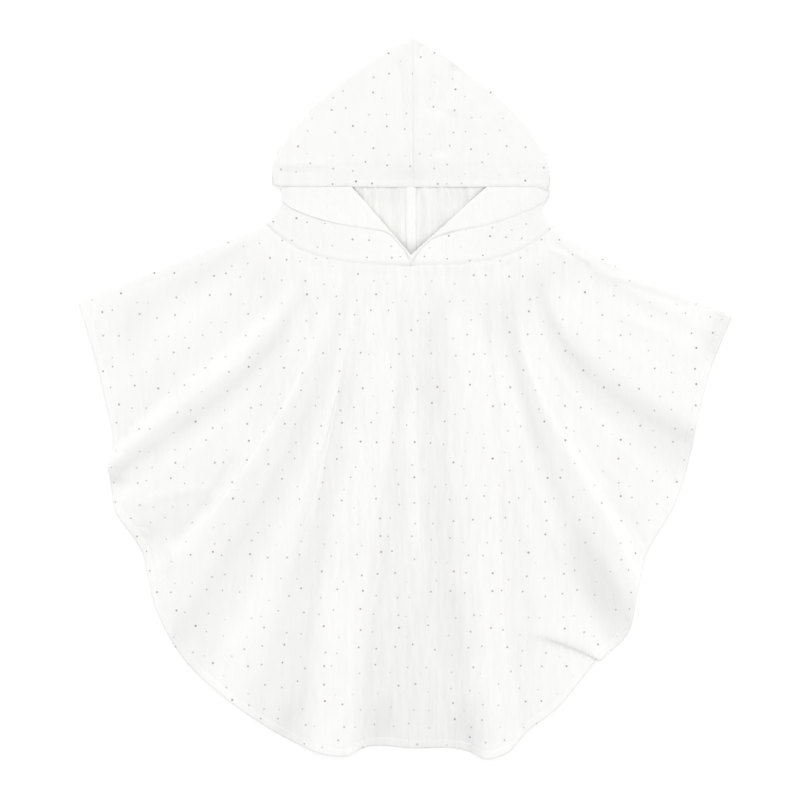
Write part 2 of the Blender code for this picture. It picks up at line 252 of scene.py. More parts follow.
# Hood
FOREHEAD_Y = 210.5 * MM
APEX_Y = 361.5 * MM
CROWN_HALF = 138.5 * MM
CROWN_WIDEST_Y = 217.5 * MM
CROWN_SIDE_ARM = 50 * MM
CROWN_TIP_ARM = 37 * MM
CROWN_SIDE_SWELL = 1.025
CROWN_TIP_SWELL = 0.455
FOREHEAD_DROOP = 4 * MM
DROOP_START = 0.9
FACE_POINT_LEVEL = 0.128
JOIN_LAP = 1.5 * MM  # how far each half passes the centre below the face opening's point
TUCK_HEIGHT = 38 * MM
FOREHEAD_SAG = 2.5 * MM  # between the lapels, where only the back layer lies under the crown
SAG_HEIGHT = 70 * MM
FOREHEAD_Z = 6.6 * MM
CROWN_TIP_Z = 3.4 * MM
TIP_SIDE_Z = 2.9 * MM
CROWN_SINK_POWER = 1.5
FOLD_TOP_Z = FLOOR_LAYER_Z + 3 * FOREHEAD_STEP
BEND = 6 * MM
BULGE = 0.24 * MM
STEP_LEVEL = 0.7  # from here up the layers lie as close as at the forehead
LAPEL_BEND = 0.35
LAPEL_LEAST = 3 * MM
LAPEL_REST = 0.5 * MM  # from the middle of the layer below to the middle of its free edge lying on it
LAPEL_LOW_STEP = 0.35 * MM  # from layer to layer where the lapel is pressed flat, up to this level
LAPEL_RISE_LEVEL = 0.35
SEAM_GAP = 0.1 * MM
BACK_SHARES = (0.35, 0.7, 1)
CROWN_SHARES = (1, 0.75, 0.5, 0.25)
LOWER_STEPS = 44
UPPER_STEPS = 66
BETWEEN_STEPS = 4  # from the forehead edge to the crown's widest row
LAST_TURN = 0.985
FOREHEAD_HEM = 20 * MM
FOREHEAD_GROOVE_WIDTH = 1.4 * MM
FOREHEAD_BEAD = 7 * MM  # the rolled edge within that hem
FOREHEAD_BEAD_STEP = 2.5 * MM
FOREHEAD_BEAD_WALL = 0.25 * MM
FOREHEAD_REST = 1.45 * MM  # how far the hem comes down onto what lies under it
FOREHEAD_REST_WIDTH = 25 * MM
FOREHEAD_FIRST_ROW = 0.35 * MM  # a row close to the edge, so that the edge turns sharply
FOREHEAD_THIN = 0.9
FOREHEAD_THIN_REACH = 1.5 * MM
CROWN_BAND = 9 * MM
CROWN_BAND_STEP = 2 * MM
CROWN_BAND_RISE = 0.35 * MM
CROWN_CREST = 2.2 * MM
CROWN_CREST_WIDTH = 16 * MM
CROWN_CREST_START = 25 * MM  # above the forehead
CROWN_SEAM_SHIFT = 2.5 * MM
CROWN_SEAM_SHIFT_WIDTH = 60 * MM
CROWN_LAP = 0.9 * MM
CROWN_LAP_LIFT = 0.1 * MM
CROWN_SEAM_REACH = 3 * MM  # the strip along the centre seam where it laps and thins

# A row of a hood half runs along numbered control points. These are the places where its parts end, and the
# stretches of a row, as the first and last place of each and its steps.
BACK_END = 3
OFF_FLOOR = (3.6, 4.8)
LAPEL_START = 10
LAPEL_THINS = 12.2
LAPEL_END = 14
LOWER_STRETCHES = ((0, 3, 60), (3, 4.8, 14), (4.8, 8, 40), (8, 10.4, 18), (10.4, 12.6, 34), (12.6, 14, 10))
CROWN_STRETCHES = ((14, 15.2, 10), (15.2, 20, 62))

# Binding
BINDING_WIDTH = 9.5 * MM
BINDING_TURN = 20 * MM  # below the hood's tip
BINDING_Z = 2.0 * MM
BINDING_UNDER_CROWN = 0.95 * MM
BINDING_START = 1 * MM  # above the neck seam
BINDING_END = 4 * MM  # above the forehead
BINDING_STEPS = (90, 12, 60)  # up the back, round the turn and down under the crown
BINDING_COLUMNS = 13
BINDING_STITCHED = {"left": 2, "right": 10}  # the columns that the stitches follow
BINDING_SWAY = 0.5 * MM
BINDING_SWAY_SIZE = 25 * MM
BINDING_EDGE_DROP = 0.4 * MM
BINDING_FADE = 3 * MM  # above the forehead, where it lies down again

# One row for each line where the cloth of a panel crests, dips or turns, from the left shoulder seam round
# by the hem to the right one. neck_x is where it leaves the neckline; hem_x and hem_y are where it meets the
# free edge; near_bow and far_bow are how far it bends to its left at one and two thirds of its length, seen
# from the neck; middle_z and hem_z are the heights of the front panel there. All in millimetres.
Fold = namedtuple("Fold", "name neck_x hem_x hem_y near_bow far_bow middle_z hem_z")
FOLDS = (
    Fold("left shoulder", -138.5, -327, 96, -0.5, 0.5, 2.3, 2.3),
    Fold("left shoulder turn", -134.5, -314.5, 57, 0.5, 1.5, 4.6, 5.8),
    Fold("left sleeve", -125.5, -299.5, -2, 3, 3, 7.6, 7.2),
    Fold("left cuff dip", -108, -292, -50, 13.5, 2, 6.4, 6.0),
    Fold("left cuff ridge", -97, -296.5, -68, 22, 12, 11.0, 10.4),
    Fold("left cuff valley", -88, -294, -86, 29, 22, 3.0, 2.6),
    Fold("left flap", -80, -290, -110, 32, 28, 6.2, 7.6),
    Fold("left side dip", -73, -263.5, -152, 28, 33, 6.0, 4.2),
    Fold("left side ridge", -66, -249.5, -207, 21, 13, 13.4, 11.4),
    Fold("left side valley", -57, -225, -256, 24, 18, 3.0, 2.6),
    Fold("left broad ridge", -48, -179, -300, 17, 12, 9.0, 9.0),
    Fold("left hem dip", -42, -142, -326.5, 3, 1, 6.4, 3.0),
    Fold("left hem valley", -36, -109, -345, -4, -8, 3.2, 2.6),
    Fold("left hem ridge, outer", -30, -88, -353.5, 12, -1, 12.0, 13.6),
    Fold("left hem ridge, inner", -22, -57, -356.5, 17, 3, 13.4, 14.0),
    Fold("middle valley", -11, -42, -349.5, 14, 8, 4.6, 2.6),
    Fold("middle rise", 6, 7, -350, 2, 3, 7.6, 2.7),
    Fold("right hem valley", 31, 63, -353, -10, -10, 3.2, 2.6),
    Fold("right hem ridge, inner", 46, 79, -360, 6, 8, 13.0, 14.4),
    Fold("right hem ridge, outer", 58, 100, -354.5, 9, 8, 13.4, 12.8),
    Fold("right hem dip", 69, 121, -333, 5, 0, 6.0, 5.2),
    Fold("right broad rise", 79, 149, -311.5, -5, 0, 8.2, 7.0),
    Fold("right hem shoulder", 89, 189, -264.5, -18, -13, 7.2, 8.2),
    Fold("right side valley", 101, 221, -237, -28, -23, 4.0, 2.6),
    Fold("right side ridge", 119, 231.5, -190, -34, -17, 11.6, 13.0),
    Fold("right side dip", 122.5, 238.5, -160, -36, -22, 9.2, 6.6),
    Fold("right side rise", 125.5, 267.5, -108, -40, -28, 7.6, 7.8),
    Fold("right cuff valley", 128.5, 285.5, -52, -40, -34, 3.2, 2.6),
    Fold("right cuff ridge", 134, 290.5, -24, -35, -26, 9.4, 8.8),
    Fold("right sleeve", 139.5, 304, 28, -16, -10, 7.8, 7.4),
    Fold("right shoulder turn", 144, 315.5, 56, -9, -6.5, 4.6, 5.8),
    Fold("right shoulder", 147.5, 326, 81, -6, -4, 2.3, 2.3),
)

# The two hood halves: which side of the centre each is on; how far the roll beside the face opening would
# reach from the neckline to the forehead; and the waist in its side fold between shoulder and crown, as its
# level, its depth and how far it spreads down and up from there. Millimetres, but for the shares.
Half = namedtuple("Half", "name node side roll_reach waist_level waist_depth spread_down spread_up")
HALVES = (
    Half("hood_half_left", "hood_left", -1, 68.5, 0.73, 12, 0.38, 0.42),
    Half("hood_half_right", "hood_right", 1, 87.5, 0.57, 10, 0.45, 0.20),
)

# The free edge of the outward fold below the forehead: how far up from the neckline towards the forehead,
# as a share; how far from the centre line on the left and on the right; and how far it stands off the layer
# below on each side. Millimetres, but for the level.
LapelEdge = namedtuple("LapelEdge", "level left_out right_out left_lift right_lift")
LAPEL_EDGE = (
    LapelEdge(0.00, 0, 0, -0.4, -0.4),
    LapelEdge(0.28, 10, 14, -0.4, -0.4),
    LapelEdge(0.36, 17, 26, -0.4, -0.4),
    LapelEdge(0.44, 28, 46, -0.3, -0.2),
    LapelEdge(0.50, 64, 76, 0.2, 0),
    LapelEdge(0.56, 94, 99, 0.7, 0),
    LapelEdge(0.64, 120, 124, 0.7, 0.1),
    LapelEdge(0.74, 129, 134, 0.3, 0.1),
)

# Creases, one by one: where each starts and ends in plan, how far its middle is bowed to its left, how wide
# half of it is, and how high it stands (below nothing for a trough). All in millimetres.
Crease = namedtuple("Crease", "x0 y0 x1 y1 bow width rise")
FRONT_CREASES = (
    Crease(-268, -106, -190, -87, 2, 4, 0.8),
    Crease(-268, -114, -204, -98, 2, 5, -0.25),
    Crease(-278, -36, -284, -58, 0, 3, -1.4),
    Crease(-258, -8, -268, -40, 2, 3, -0.7),
    Crease(-244, 4, -252, -26, 0, 3, -0.6),
    Crease(-229, 10, -238, -14, 1, 3, -0.5),
    Crease(-174, -60, -208, -114, 3, 4, -1.7),
    Crease(-190, -105, -232, -146, -3, 5, -1.6),
    Crease(-178, -96, -216, -140, 2, 3, 0.8),
    Crease(-262, -128, -250, -136, 0, 3, -1.6),
    Crease(-238, -155, -242, -182, 0, 4, -1.4),
    Crease(144, 148, 184, 136, 0, 4, 0.8),
    Crease(147, 152, 184, 129, 2, 3, -0.9),
    Crease(206, 122, 284, 96, 2, 4, 0.9),
    Crease(210, 114, 280, 90, 2, 4, -0.6),
    Crease(150, 84, 176, 40, -4, 4, 0.7),
    Crease(190, 60, 236, 32, 4, 5, 0.6),
    Crease(214, 84, 262, 66, -3, 5, 0.5),
    Crease(-110, 130, -96, 60, 4, 4, -0.7),
    Crease(-84, 120, -88, 40, -3, 4, 0.7),
    Crease(-62, 118, -66, 56, 2, 3, -0.6),
    Crease(-36, 118, -38, 50, 2, 4, 0.6),
    Crease(-12, 118, -16, 30, -2, 4, -0.6),
    Crease(26, 120, 24, 40, 2, 5, -0.8),
    Crease(48, 120, 50, 30, -2, 4, 0.6),
    Crease(82, 122, 84, 62, 2, 3, -0.6),
    Crease(112, 128, 106, 78, -2, 4, -0.8),
    Crease(-120, 60, -148, 0, 4, 5, -0.7),
    Crease(-96, -20, -110, -90, 3, 5, -0.8),
    Crease(-128, -60, -152, -122, -3, 5, 0.7),
    Crease(-58, -60, -66, -150, 2, 5, -0.6),
    Crease(-10, -60, -6, -150, 2, 5, -0.5),
    Crease(14, -90, 18, -190, -2, 5, 0.5),
    Crease(120, 10, 138, -60, -4, 6, -0.8),
    Crease(108, -60, 120, -140, -3, 6, 0.7),
    Crease(180, -40, 204, -84, -3, 5, -0.6),
    Crease(202, -70, 226, -112, 3, 5, 0.7),
    Crease(226, -116, 238, -146, -2, 4, -0.9),
)
CROWN_CREASES = (
    Crease(-6, 332, -3, 258, 1, 5.0, -1.9),
    Crease(15, 352, 13, 336, 0, 2.5, -1.1),
    Crease(50, 330, 33, 282, 1, 7.0, -1.9),
    Crease(30, 320, 23, 286, 1, 5.0, -0.8),
    Crease(17, 330, 16, 240, -1, 6.0, 0.7),
    Crease(46, 284, 36, 242, 1, 7.0, -1.6),
    Crease(-126, 231, -80, 232, 1, 3.0, 0.6),
    Crease(-124, 225, -74, 225, 0, 2.5, -0.45),
    Crease(96, 238, 108, 220, 1, 4.0, -0.5),
    Crease(-30, 250, -28, 224, 0, 4.0, -0.5),
    Crease(-60, 262, -54, 236, 2, 5.0, 0.4),
    Crease(70, 256, 74, 226, 0, 4.0, 0.5),
    Crease(26, 250, 27, 222, 0, 3.0, -0.5),
)

INNER_CREASES = (
    Crease(-44, 214, -43, 178, 0, 1.3, -0.7),
    Crease(-37, 214, -38, 172, 0, 1.2, -0.6),
    Crease(-32, 214, -32, 168, 0, 2.2, 0.7),
    Crease(-27, 214, -27, 162, 0, 1.5, -0.9),
    Crease(-18, 214, -17, 152, 0, 1.2, -0.6),
    Crease(-10, 214, -9, 148, 0, 1.4, -0.7),
    Crease(13.5, 214, 12.5, 146, 0, 1.6, -1.3),
    Crease(18, 214, 17, 150, 0, 1.6, 0.7),
    Crease(23, 214, 22, 152, 0, 1.2, -0.6),
    Crease(31, 214, 29, 158, 0, 1.5, -0.8),
    Crease(36, 214, 35, 166, 0, 2.0, 0.6),
    Crease(43, 214, 41, 170, 0, 1.4, -0.8),
    Crease(51, 214, 49, 178, 0, 1.3, -0.6),
    Crease(59, 214, 57, 186, 0, 1.6, -0.8),
)

# Painted shade for places that get less light than their height alone tells, at the ends of hollows and in
# tight little folds, or painted light for those that get more (below nothing): where each is, how far it
# spreads along and across, which way it runs, in degrees, and how much painted shade it adds. Otherwise in
# millimetres.
Shade = namedtuple("Shade", "x y along across turn depth")
SHADES = (
    Shade(184, -184, 46, 20, -62, 0.95),
    Shade(198, -204, 16, 10, -62, 0.3),
    Shade(146, -142, 45, 10, -65, 0.25),
    Shade(118, -150, 110, 9, -87, 0.3),
    Shade(118, -79, 30, 9, -70, 0.15),
    Shade(217, -175, 30, 7, -62, -0.8),
    Shade(95, 40, 60, 12, -75, -0.15),
    Shade(70, -335, 26, 18, -80, 0.75),
    Shade(46, -328, 14, 10, 90, 0.3),
    Shade(25, -233, 45, 8, -88, -0.3),
    Shade(-20, -193, 55, 10, 85, -0.3),
    Shade(-25, -322, 24, 14, 90, 0.85),
    Shade(-119, -325, 26, 10, 72, 0.85),
    Shade(-169, -215, 34, 10, 62, 0.25),
    Shade(-217, -254, 14, 8, 45, -0.3),
    Shade(-239, -174, 22, 12, 45, 0.8),
    Shade(-258, -137, 8, 3, -20, 0.9),
    Shade(-287, -83, 10, 4, 0, 0.9),
    Shade(-268, -62, 14, 6, 30, -0.4),
    Shade(-250, -78, 26, 8, 30, 0.35),
    Shade(-241, -40, 16, 8, 35, -0.35),
    Shade(-217, -62, 24, 9, 35, 0.22),
    Shade(-217, 9, 24, 8, 35, 0.25),
    Shade(-170, 31, 14, 9, 30, -0.6),
    Shade(-193, 10, 14, 8, 35, -0.3),
)

# The fold at the lower right where the cloth above laps over the cloth below it.
LAP_START = (109 * MM, -235 * MM)
LAP_END = (201 * MM, -267 * MM)
LAP_BOW = 5 * MM
LAP_WIDTH = 7 * MM
LAP_PULL = 5 * MM
LAP_RISE = 1.7 * MM
LAP_STEP_WIDTH = 0.45 * LAP_WIDTH
LAP_STEP_LIFT = 0.35
LAP_REACH = 16 * MM
LAP_FULL_FROM = 0.4  # shares of its length
LAP_GONE_BY = 1.25
LAP_FADE = 0.2

# Crinkle of the gauze, in two sizes: half a ridge's width, its length and its share of the height.
CrinkleSize = namedtuple("CrinkleSize", "width length share")
BODY_CRINKLE = (CrinkleSize(9, 70, 0.5), CrinkleSize(5.2, 46, 0.5))
INNER_CRINKLE = (CrinkleSize(5, 60, 0.5), CrinkleSize(2.9, 34, 0.5))
CRINKLE_DRIFT = 4 * MM
CRINKLE_DRIFT_SIZE = (28 * MM, 40 * MM)
CRINKLE_PATCH = (60 * MM, 80 * MM)
CRINKLE_EVENNESS = 0.65  # the share of its height that no patch takes away
BODY_CRINKLE_HEIGHT = 0.32 * MM
CROWN_CRINKLE_HEIGHT = 0.30 * MM
COLLAR_CRINKLE_HEIGHT = 0.2 * MM
LATTICE = 256

# Inside the face opening
INSIDE_TOP_LEVEL = 1.1
INNER_CRINKLE_HEIGHT = 1.2 * MM
INNER_RISE = 0.7 * MM
INNER_TOP_RISE = 2.1 * MM  # more of it just under the forehead edge, at the rolled edges
INNER_TOP_SHARE = 0.3  # of that at the centre
INNER_TOP_HEIGHT = 18 * MM
INNER_FADE = 6 * MM  # above the forehead edge
INNER_SIDE_FADE = 4 * MM
INNER_TAPE_SHARE = 0.35  # of the binding's width, which it lies under
INNER_TAPE_FADE = 3 * MM

# Painted shade: a field that darkens the cloth's colour, down to the tone below where it is 1, standing in for
# the shade in the front's hollows, at the pressed cuff, over the crown and the neck band, and inside the face
# opening along the rolled edges and at its point.
PAINTED_SHADE_TONE = 0.925
PAINTED_SHADE_TOP = 8.5 * MM
PAINTED_SHADE_DEPTH = 6 * MM
PAINTED_SHADE_START = 50 * MM  # below the neck seam
PAINTED_SHADE_SHOULDER = 0.03  # of the way round from each shoulder
CUFF_PAINTED_SHADE = 0.7
HOOD_PAINTED_SHADE = 0.24
COLLAR_PAINTED_SHADE = 0.5
COLLAR_PAINTED_SHADE_OUT = 100 * MM
INNER_PAINTED_SHADE = 0.45
INNER_PAINTED_SHADE_WIDTHS = {-1: 10.5 * MM, 1: 15 * MM}
POINT_PAINTED_SHADE = 2.4
POINT_PAINTED_SHADE_HEIGHT = 20 * MM

# The field streaks, which says how strong the fine crinkle is, both its bump and the shade painted along its
# low lines: on the front it is strongest down the middle.
FRONT_STREAKS = (0.3, 0.5)
FRONT_STREAKS_X = 20 * MM
FRONT_STREAKS_WIDTH = 130 * MM
BACK_STREAKS = 0.5
HOOD_STREAKS = 0.25
INNER_STREAKS = 1.3

# Look. The scales count noise cells, bands or dots to a metre; a pair of numbers is a range.
PRINTED_COLOUR = (0.94, 0.94, 0.935)
PLAIN_COLOUR = (0.944, 0.943, 0.931)
TAPE_COLOUR = (0.95, 0.95, 0.945)
THREAD_COLOUR = (0.96, 0.96, 0.95)
NOISE_RANGE = (0.3, 0.7)  # most of the noise lies in it
PATCH_SCALE = 14.0
PATCH_TONE = (0.985, 1)
STREAK_SCALE = 190.0
STREAK_DRAWN = 0.11  # how much coarser the noise is along the cloth
STREAK_RANGE = (0.68, 0.32)
# Painted shade along the crinkle's low lines, as a range taken off the colour:
STREAK_PAINTED_SHADE = (0, 0.055)  # taken off
STREAK_DEPTH = 1.2 * MM
FINE_SCALE = 620.0
FINE_DRAWN = 0.3
FINE_STRENGTH = 0.5
FINE_DEPTH = 0.3 * MM
WEAVE_SCALE = 700.0
WEAVE_STRENGTH = 0.35
WEAVE_DEPTH = 0.12 * MM
MUSLIN_ROUGHNESS = (0.84, 0.96)
DOT_SCALE = 54.0
DOT_JITTER = 0.72
DOT_RADIUS = (0.036, 0.062)  # of a cell
DOT_EDGE = (-0.006, 0.012)
DOT_STRENGTH = (0.2, 0.88)
GREY_INK = (0.20, 0.20, 0.21, 1)
GOLD_INK = (0.40, 0.30, 0.17, 1)
TAPE_PATCH_SCALE = 60.0
TAPE_PATCH_TONE = (0.97, 1)
TWILL_SCALE = 420.0
TWILL_STRENGTH = 0.4
TWILL_DEPTH = 0.2 * MM
TAPE_ROUGHNESS = (0.72, 0.84)
FLOOR_COLOUR = (0.86, 0.86, 0.86, 1)
FLOOR_SEEN_COLOUR = (0.36, 0.36, 0.36, 1)  # with its own light, it looks white to the camera
FLOOR_SEEN_LIGHT = 0.72
FLOOR_REACH = 6.0
FLOOR_Z = -0.4 * MM
SKY_COLOUR = (0.993, 0.997, 1, 1)
SKY_STRENGTH = 0.71
Lamp = namedtuple("Lamp", "name towards strength colour")
LAMPS = (
    Lamp("window", (0.44, 0.50, 0.75), 0.885, (1, 0.97, 0.90)),
    Lamp("reflector", (-0.44, 0.50, 0.75), 0.66, (0.945, 0.972, 1)),
)
LAMP_ANGLE = 75
VIEW_CENTRE = (-5.5 * MM, -2.5 * MM)
VIEW_WIDTH = 0.8
LENS = 180
SENSOR = 36


def ease(share):
    """From 0 to 1 with a level start and end: 3s^2 - 2s^3."""
    share = np.clip(share, 0, 1)
    return share * share * (3 - 2 * share)


def bell(distance, width):
    """A bell curve: 1 at no distance, exp(-1) at one width."""
    return np.exp(-((distance / width) ** 2))


def lattice_noise(u, v, seed):
    """Smooth noise from -1 to 1: seeded random values on a unit lattice, eased between its corners."""
    lattice = np.random.default_rng(seed).uniform(-1, 1, (LATTICE, LATTICE))
    i, j = np.floor(u).astype(int), np.floor(v).astype(int)
    a, b = ease(u - i), ease(v - j)
    i, j = i % LATTICE, j % LATTICE
    right, up = (i + 1) % LATTICE, (j + 1) % LATTICE
    below = lattice[i, j] * (1 - a) + lattice[right, j] * a
    above = lattice[i, up] * (1 - a) + lattice[right, up] * a
    return below * (1 - b) + above * b


def cloth_noise(x, y, size, seed):
    """The same noise on the cloth, its lattice as wide and as long as the size."""
    return lattice_noise(x / size[0], y / size[1], seed)


def crinkle(x, y, sizes, seed):
    """The gauze's crinkle along the warp: noise stretched along Y in each size, its ridges bent sideways by a
    slower noise, and the whole stronger in some places than in others."""
    drift = CRINKLE_DRIFT * cloth_noise(x, y, CRINKLE_DRIFT_SIZE, seed)
    height = sum(
        size.share * cloth_noise(x + drift, y, (size.width * MM, size.length * MM), seed + n)
        for n, size in enumerate(sizes, 1)
    )
    patches = cloth_noise(x, y, CRINKLE_PATCH, seed + 7)
    return height * (CRINKLE_EVENNESS + (1 - CRINKLE_EVENNESS) * patches)


def creased(x, y, creases):
    """The sum of the creases: each one's cross-section is a bell about an arc between its two ends, and its
    height fades in over its first fifth and out over its last."""
    total = np.zeros_like(x)
    for crease in creases:
        start = np.array((crease.x0, crease.y0)) * MM
        end = np.array((crease.x1, crease.y1)) * MM
        length = np.linalg.norm(end - start)
        axis = (end - start) / length
        along = ((x - start[0]) * axis[0] + (y - start[1]) * axis[1]) / length
        across = (y - start[1]) * axis[0] - (x - start[0]) * axis[1]
        across = across - 4 * crease.bow * MM * along * (1 - along)
        fade = ease(5 * along + 0.5) * ease(5 * (1 - along) + 0.5)
        total += crease.rise * MM * fade * bell(across, crease.width * MM)
    return total


def shaded(x, y):
    """The sum of the painted shades: each a bell curve in its own two directions."""
    total = np.zeros_like(x)
    for shade in SHADES:
        turn = np.radians(shade.turn)
        east, north = x - shade.x * MM, y - shade.y * MM
        along = east * np.cos(turn) + north * np.sin(turn)
        across = north * np.cos(turn) - east * np.sin(turn)
        total += shade.depth * bell(along, shade.along * MM) * bell(across, shade.across * MM)
    return total


def unit(vectors):
    """The vectors at a length of 1."""
    return vectors / np.linalg.norm(vectors, axis=-1, keepdims=True)


def bezier(share, points):
    """A cubic Bezier curve at shares from 0 to 1, from its four control points."""
    weights = ((1 - share) ** 3, 3 * share * (1 - share) ** 2, 3 * share**2 * (1 - share), share**3)
    return sum(weight * point for weight, point in zip(weights, points))


def curve_through(knots, values, places):
    """A curve through the values: each stretch is a cubic whose end slopes are those of its neighbours."""
    slopes = np.gradient(values, knots, axis=0)
    stretch = np.clip(np.searchsorted(knots, places, side="right") - 1, 0, len(knots) - 2)
    length = knots[stretch + 1] - knots[stretch]
    shape = (-1,) + (1,) * (values.ndim - 1)
    s, length = ((places - knots[stretch]) / length).reshape(shape), length.reshape(shape)
    start = (2 * s**3 - 3 * s**2 + 1) * values[stretch] + (s**3 - 2 * s**2 + s) * length * slopes[stretch]
    end = (3 * s**2 - 2 * s**3) * values[stretch + 1] + (s**3 - s**2) * length * slopes[stretch + 1]
    return start + end


def eased_through(knots, values, places):
    """A curve through the values that is level at each of them, as a fold's crest or valley is."""
    stretch = np.clip(np.searchsorted(knots, places, side="right") - 1, 0, len(knots) - 2)
    share = ease((places - knots[stretch]) / (knots[stretch + 1] - knots[stretch]))[:, None]
    return values[stretch] * (1 - share) + values[stretch + 1] * share


def run_lengths(points):
    """How far along its line each point lies; a grid's lines run along its second direction."""
    steps = np.linalg.norm(np.diff(points, axis=-2), axis=-1)
    return np.concatenate([np.zeros(steps.shape[:-1] + (1,)), np.cumsum(steps, axis=-1)], -1)


def neckline_y(x):
    """The neck seam in plan: level across the centre, rising to the shoulders as a power of the distance."""
    out = np.clip(np.abs(x - CENTRE_X) / NECK_HALF, 0, 1)
    return NECK_SIDE_Y - NECK_DROP * (1 - out**NECK_POWER)


def neckline_z(x):
    """The height of the front neck seam: highest at the centre, down to the folded sides."""
    out = np.clip(np.abs(x - CENTRE_X) / NECK_HALF, 0, 1)
    return NECK_SIDE_Z + NECK_RISE * (1 - out**2)


def folds(*fields):
    """Those fields of every fold, as one column each, in metres."""
    return [np.array([[getattr(fold, field)] for fold in FOLDS]) * MM for field in fields]


def fold_ends():
    """Where each fold's line leaves the neck seam and where it meets the free edge."""
    neck_x, hem_x, hem_y = folds("neck_x", "hem_x", "hem_y")
    return np.hstack([neck_x, neckline_y(neck_x)]), np.hstack([hem_x, hem_y])


def fold_lines(shares):
    """Each fold's line in plan at its shares, a cubic Bezier curve from the neck to the free edge."""
    root, tip = fold_ends()
    near, far = folds("near_bow", "far_bow")
    along = unit(tip - root)
    left = np.stack([-along[:, 1], along[:, 0]], -1)
    first = root + (tip - root) / 3 + left * (3 * near - 1.5 * far)
    second = root + (tip - root) * 2 / 3 + left * (3 * far - 1.5 * near)
    return bezier(shares[:, :, None], [point[:, None] for point in (root, first, second, tip)])


def fold_heights(shares):
    """The front panel's height along each fold line: from the neck seam to its middle and on to its hem."""
    neck_x, middle, hem = folds("neck_x", "middle_z", "hem_z")
    to_middle = ease(shares / FOLD_MIDDLE)
    to_hem = ease((shares - FOLD_MIDDLE) / (1 - FOLD_MIDDLE))
    return neckline_z(neck_x) * (1 - to_middle) + middle * (to_middle - to_hem) + hem * to_hem


def panel_shares(lengths, rows, tuck):
    """How far down its line each row of a panel crosses each fold: close rows of a fixed width below the neck
    and along the free edge, and even ones between them."""
    near = np.linspace(-tuck, NECK_REACH, NECK_ROWS + 1)[None, :] / lengths[:, None]
    far = 1 - np.linspace(EDGE_REACH, 0, EDGE_ROWS + 1)[None, :] / lengths[:, None]
    between = np.linspace(0, 1, rows - NECK_ROWS - EDGE_ROWS + 1)[None, 1:-1]
    between = near[:, -1:] + (far[:, :1] - near[:, -1:]) * between
    return np.concatenate([near, between, far], 1)


def panel_plan(rows, columns, tuck):
    """A panel in plan, as columns of points from the neck to the free edge; how far round the free edge each
    fold and each column meets it; and the rows' shares of the folds' lines."""
    root, tip = fold_ends()
    shares = panel_shares(np.linalg.norm(tip - root, axis=1), rows, tuck)
    knots = run_lengths(tip)
    places = np.linspace(0, knots[-1], columns + 1)
    return curve_through(knots, fold_lines(shares), places), knots, places, shares


def hem_relief(edge, along, seed):
    """A turned hem: a step up of one more layer within its width, a groove at its stitches, and puckers
    across it that fade out above it."""
    step = HEM_RISE * ease((HEM_WIDTH - edge) / HEM_STEP + 0.5)
    groove = -STITCH_GROOVE * bell(edge - HEM_WIDTH, STITCH_GROOVE_WIDTH)
    puckers = cloth_noise(along, edge, PUCKER_SIZE, seed)
    return step + groove + PUCKER * puckers * bell(edge - HEM_WIDTH, PUCKER_REACH)


def lapped(plan, height):
    """Laps the cloth above a line over the cloth below it. Points near the line are drawn across it from both
    sides, so the sheet doubles back under itself there, and its height steps down through the double part.
    Both fade in from the line's inner end to the free edge."""
    start, end = np.array(LAP_START), np.array(LAP_END)
    length = np.linalg.norm(end - start)
    axis = (end - start) / length
    up = np.array((-axis[1], axis[0]))
    offset = plan - start
    along = (offset @ axis) / length
    across = offset @ up - 4 * LAP_BOW * along * (1 - along)
    strength = ease(along / LAP_FULL_FROM) * ease((LAP_GONE_BY - along) / LAP_FADE)
    draw = -LAP_PULL * strength * (across / LAP_WIDTH) * bell(across, LAP_WIDTH) * np.e**0.5
    step = LAP_RISE / 2 * strength * (np.tanh(across / LAP_STEP_WIDTH) + LAP_STEP_LIFT)
    reach = bell(np.maximum(np.abs(across) - LAP_WIDTH, 0), LAP_REACH)
    return plan + draw[..., None] * up, height + step * reach


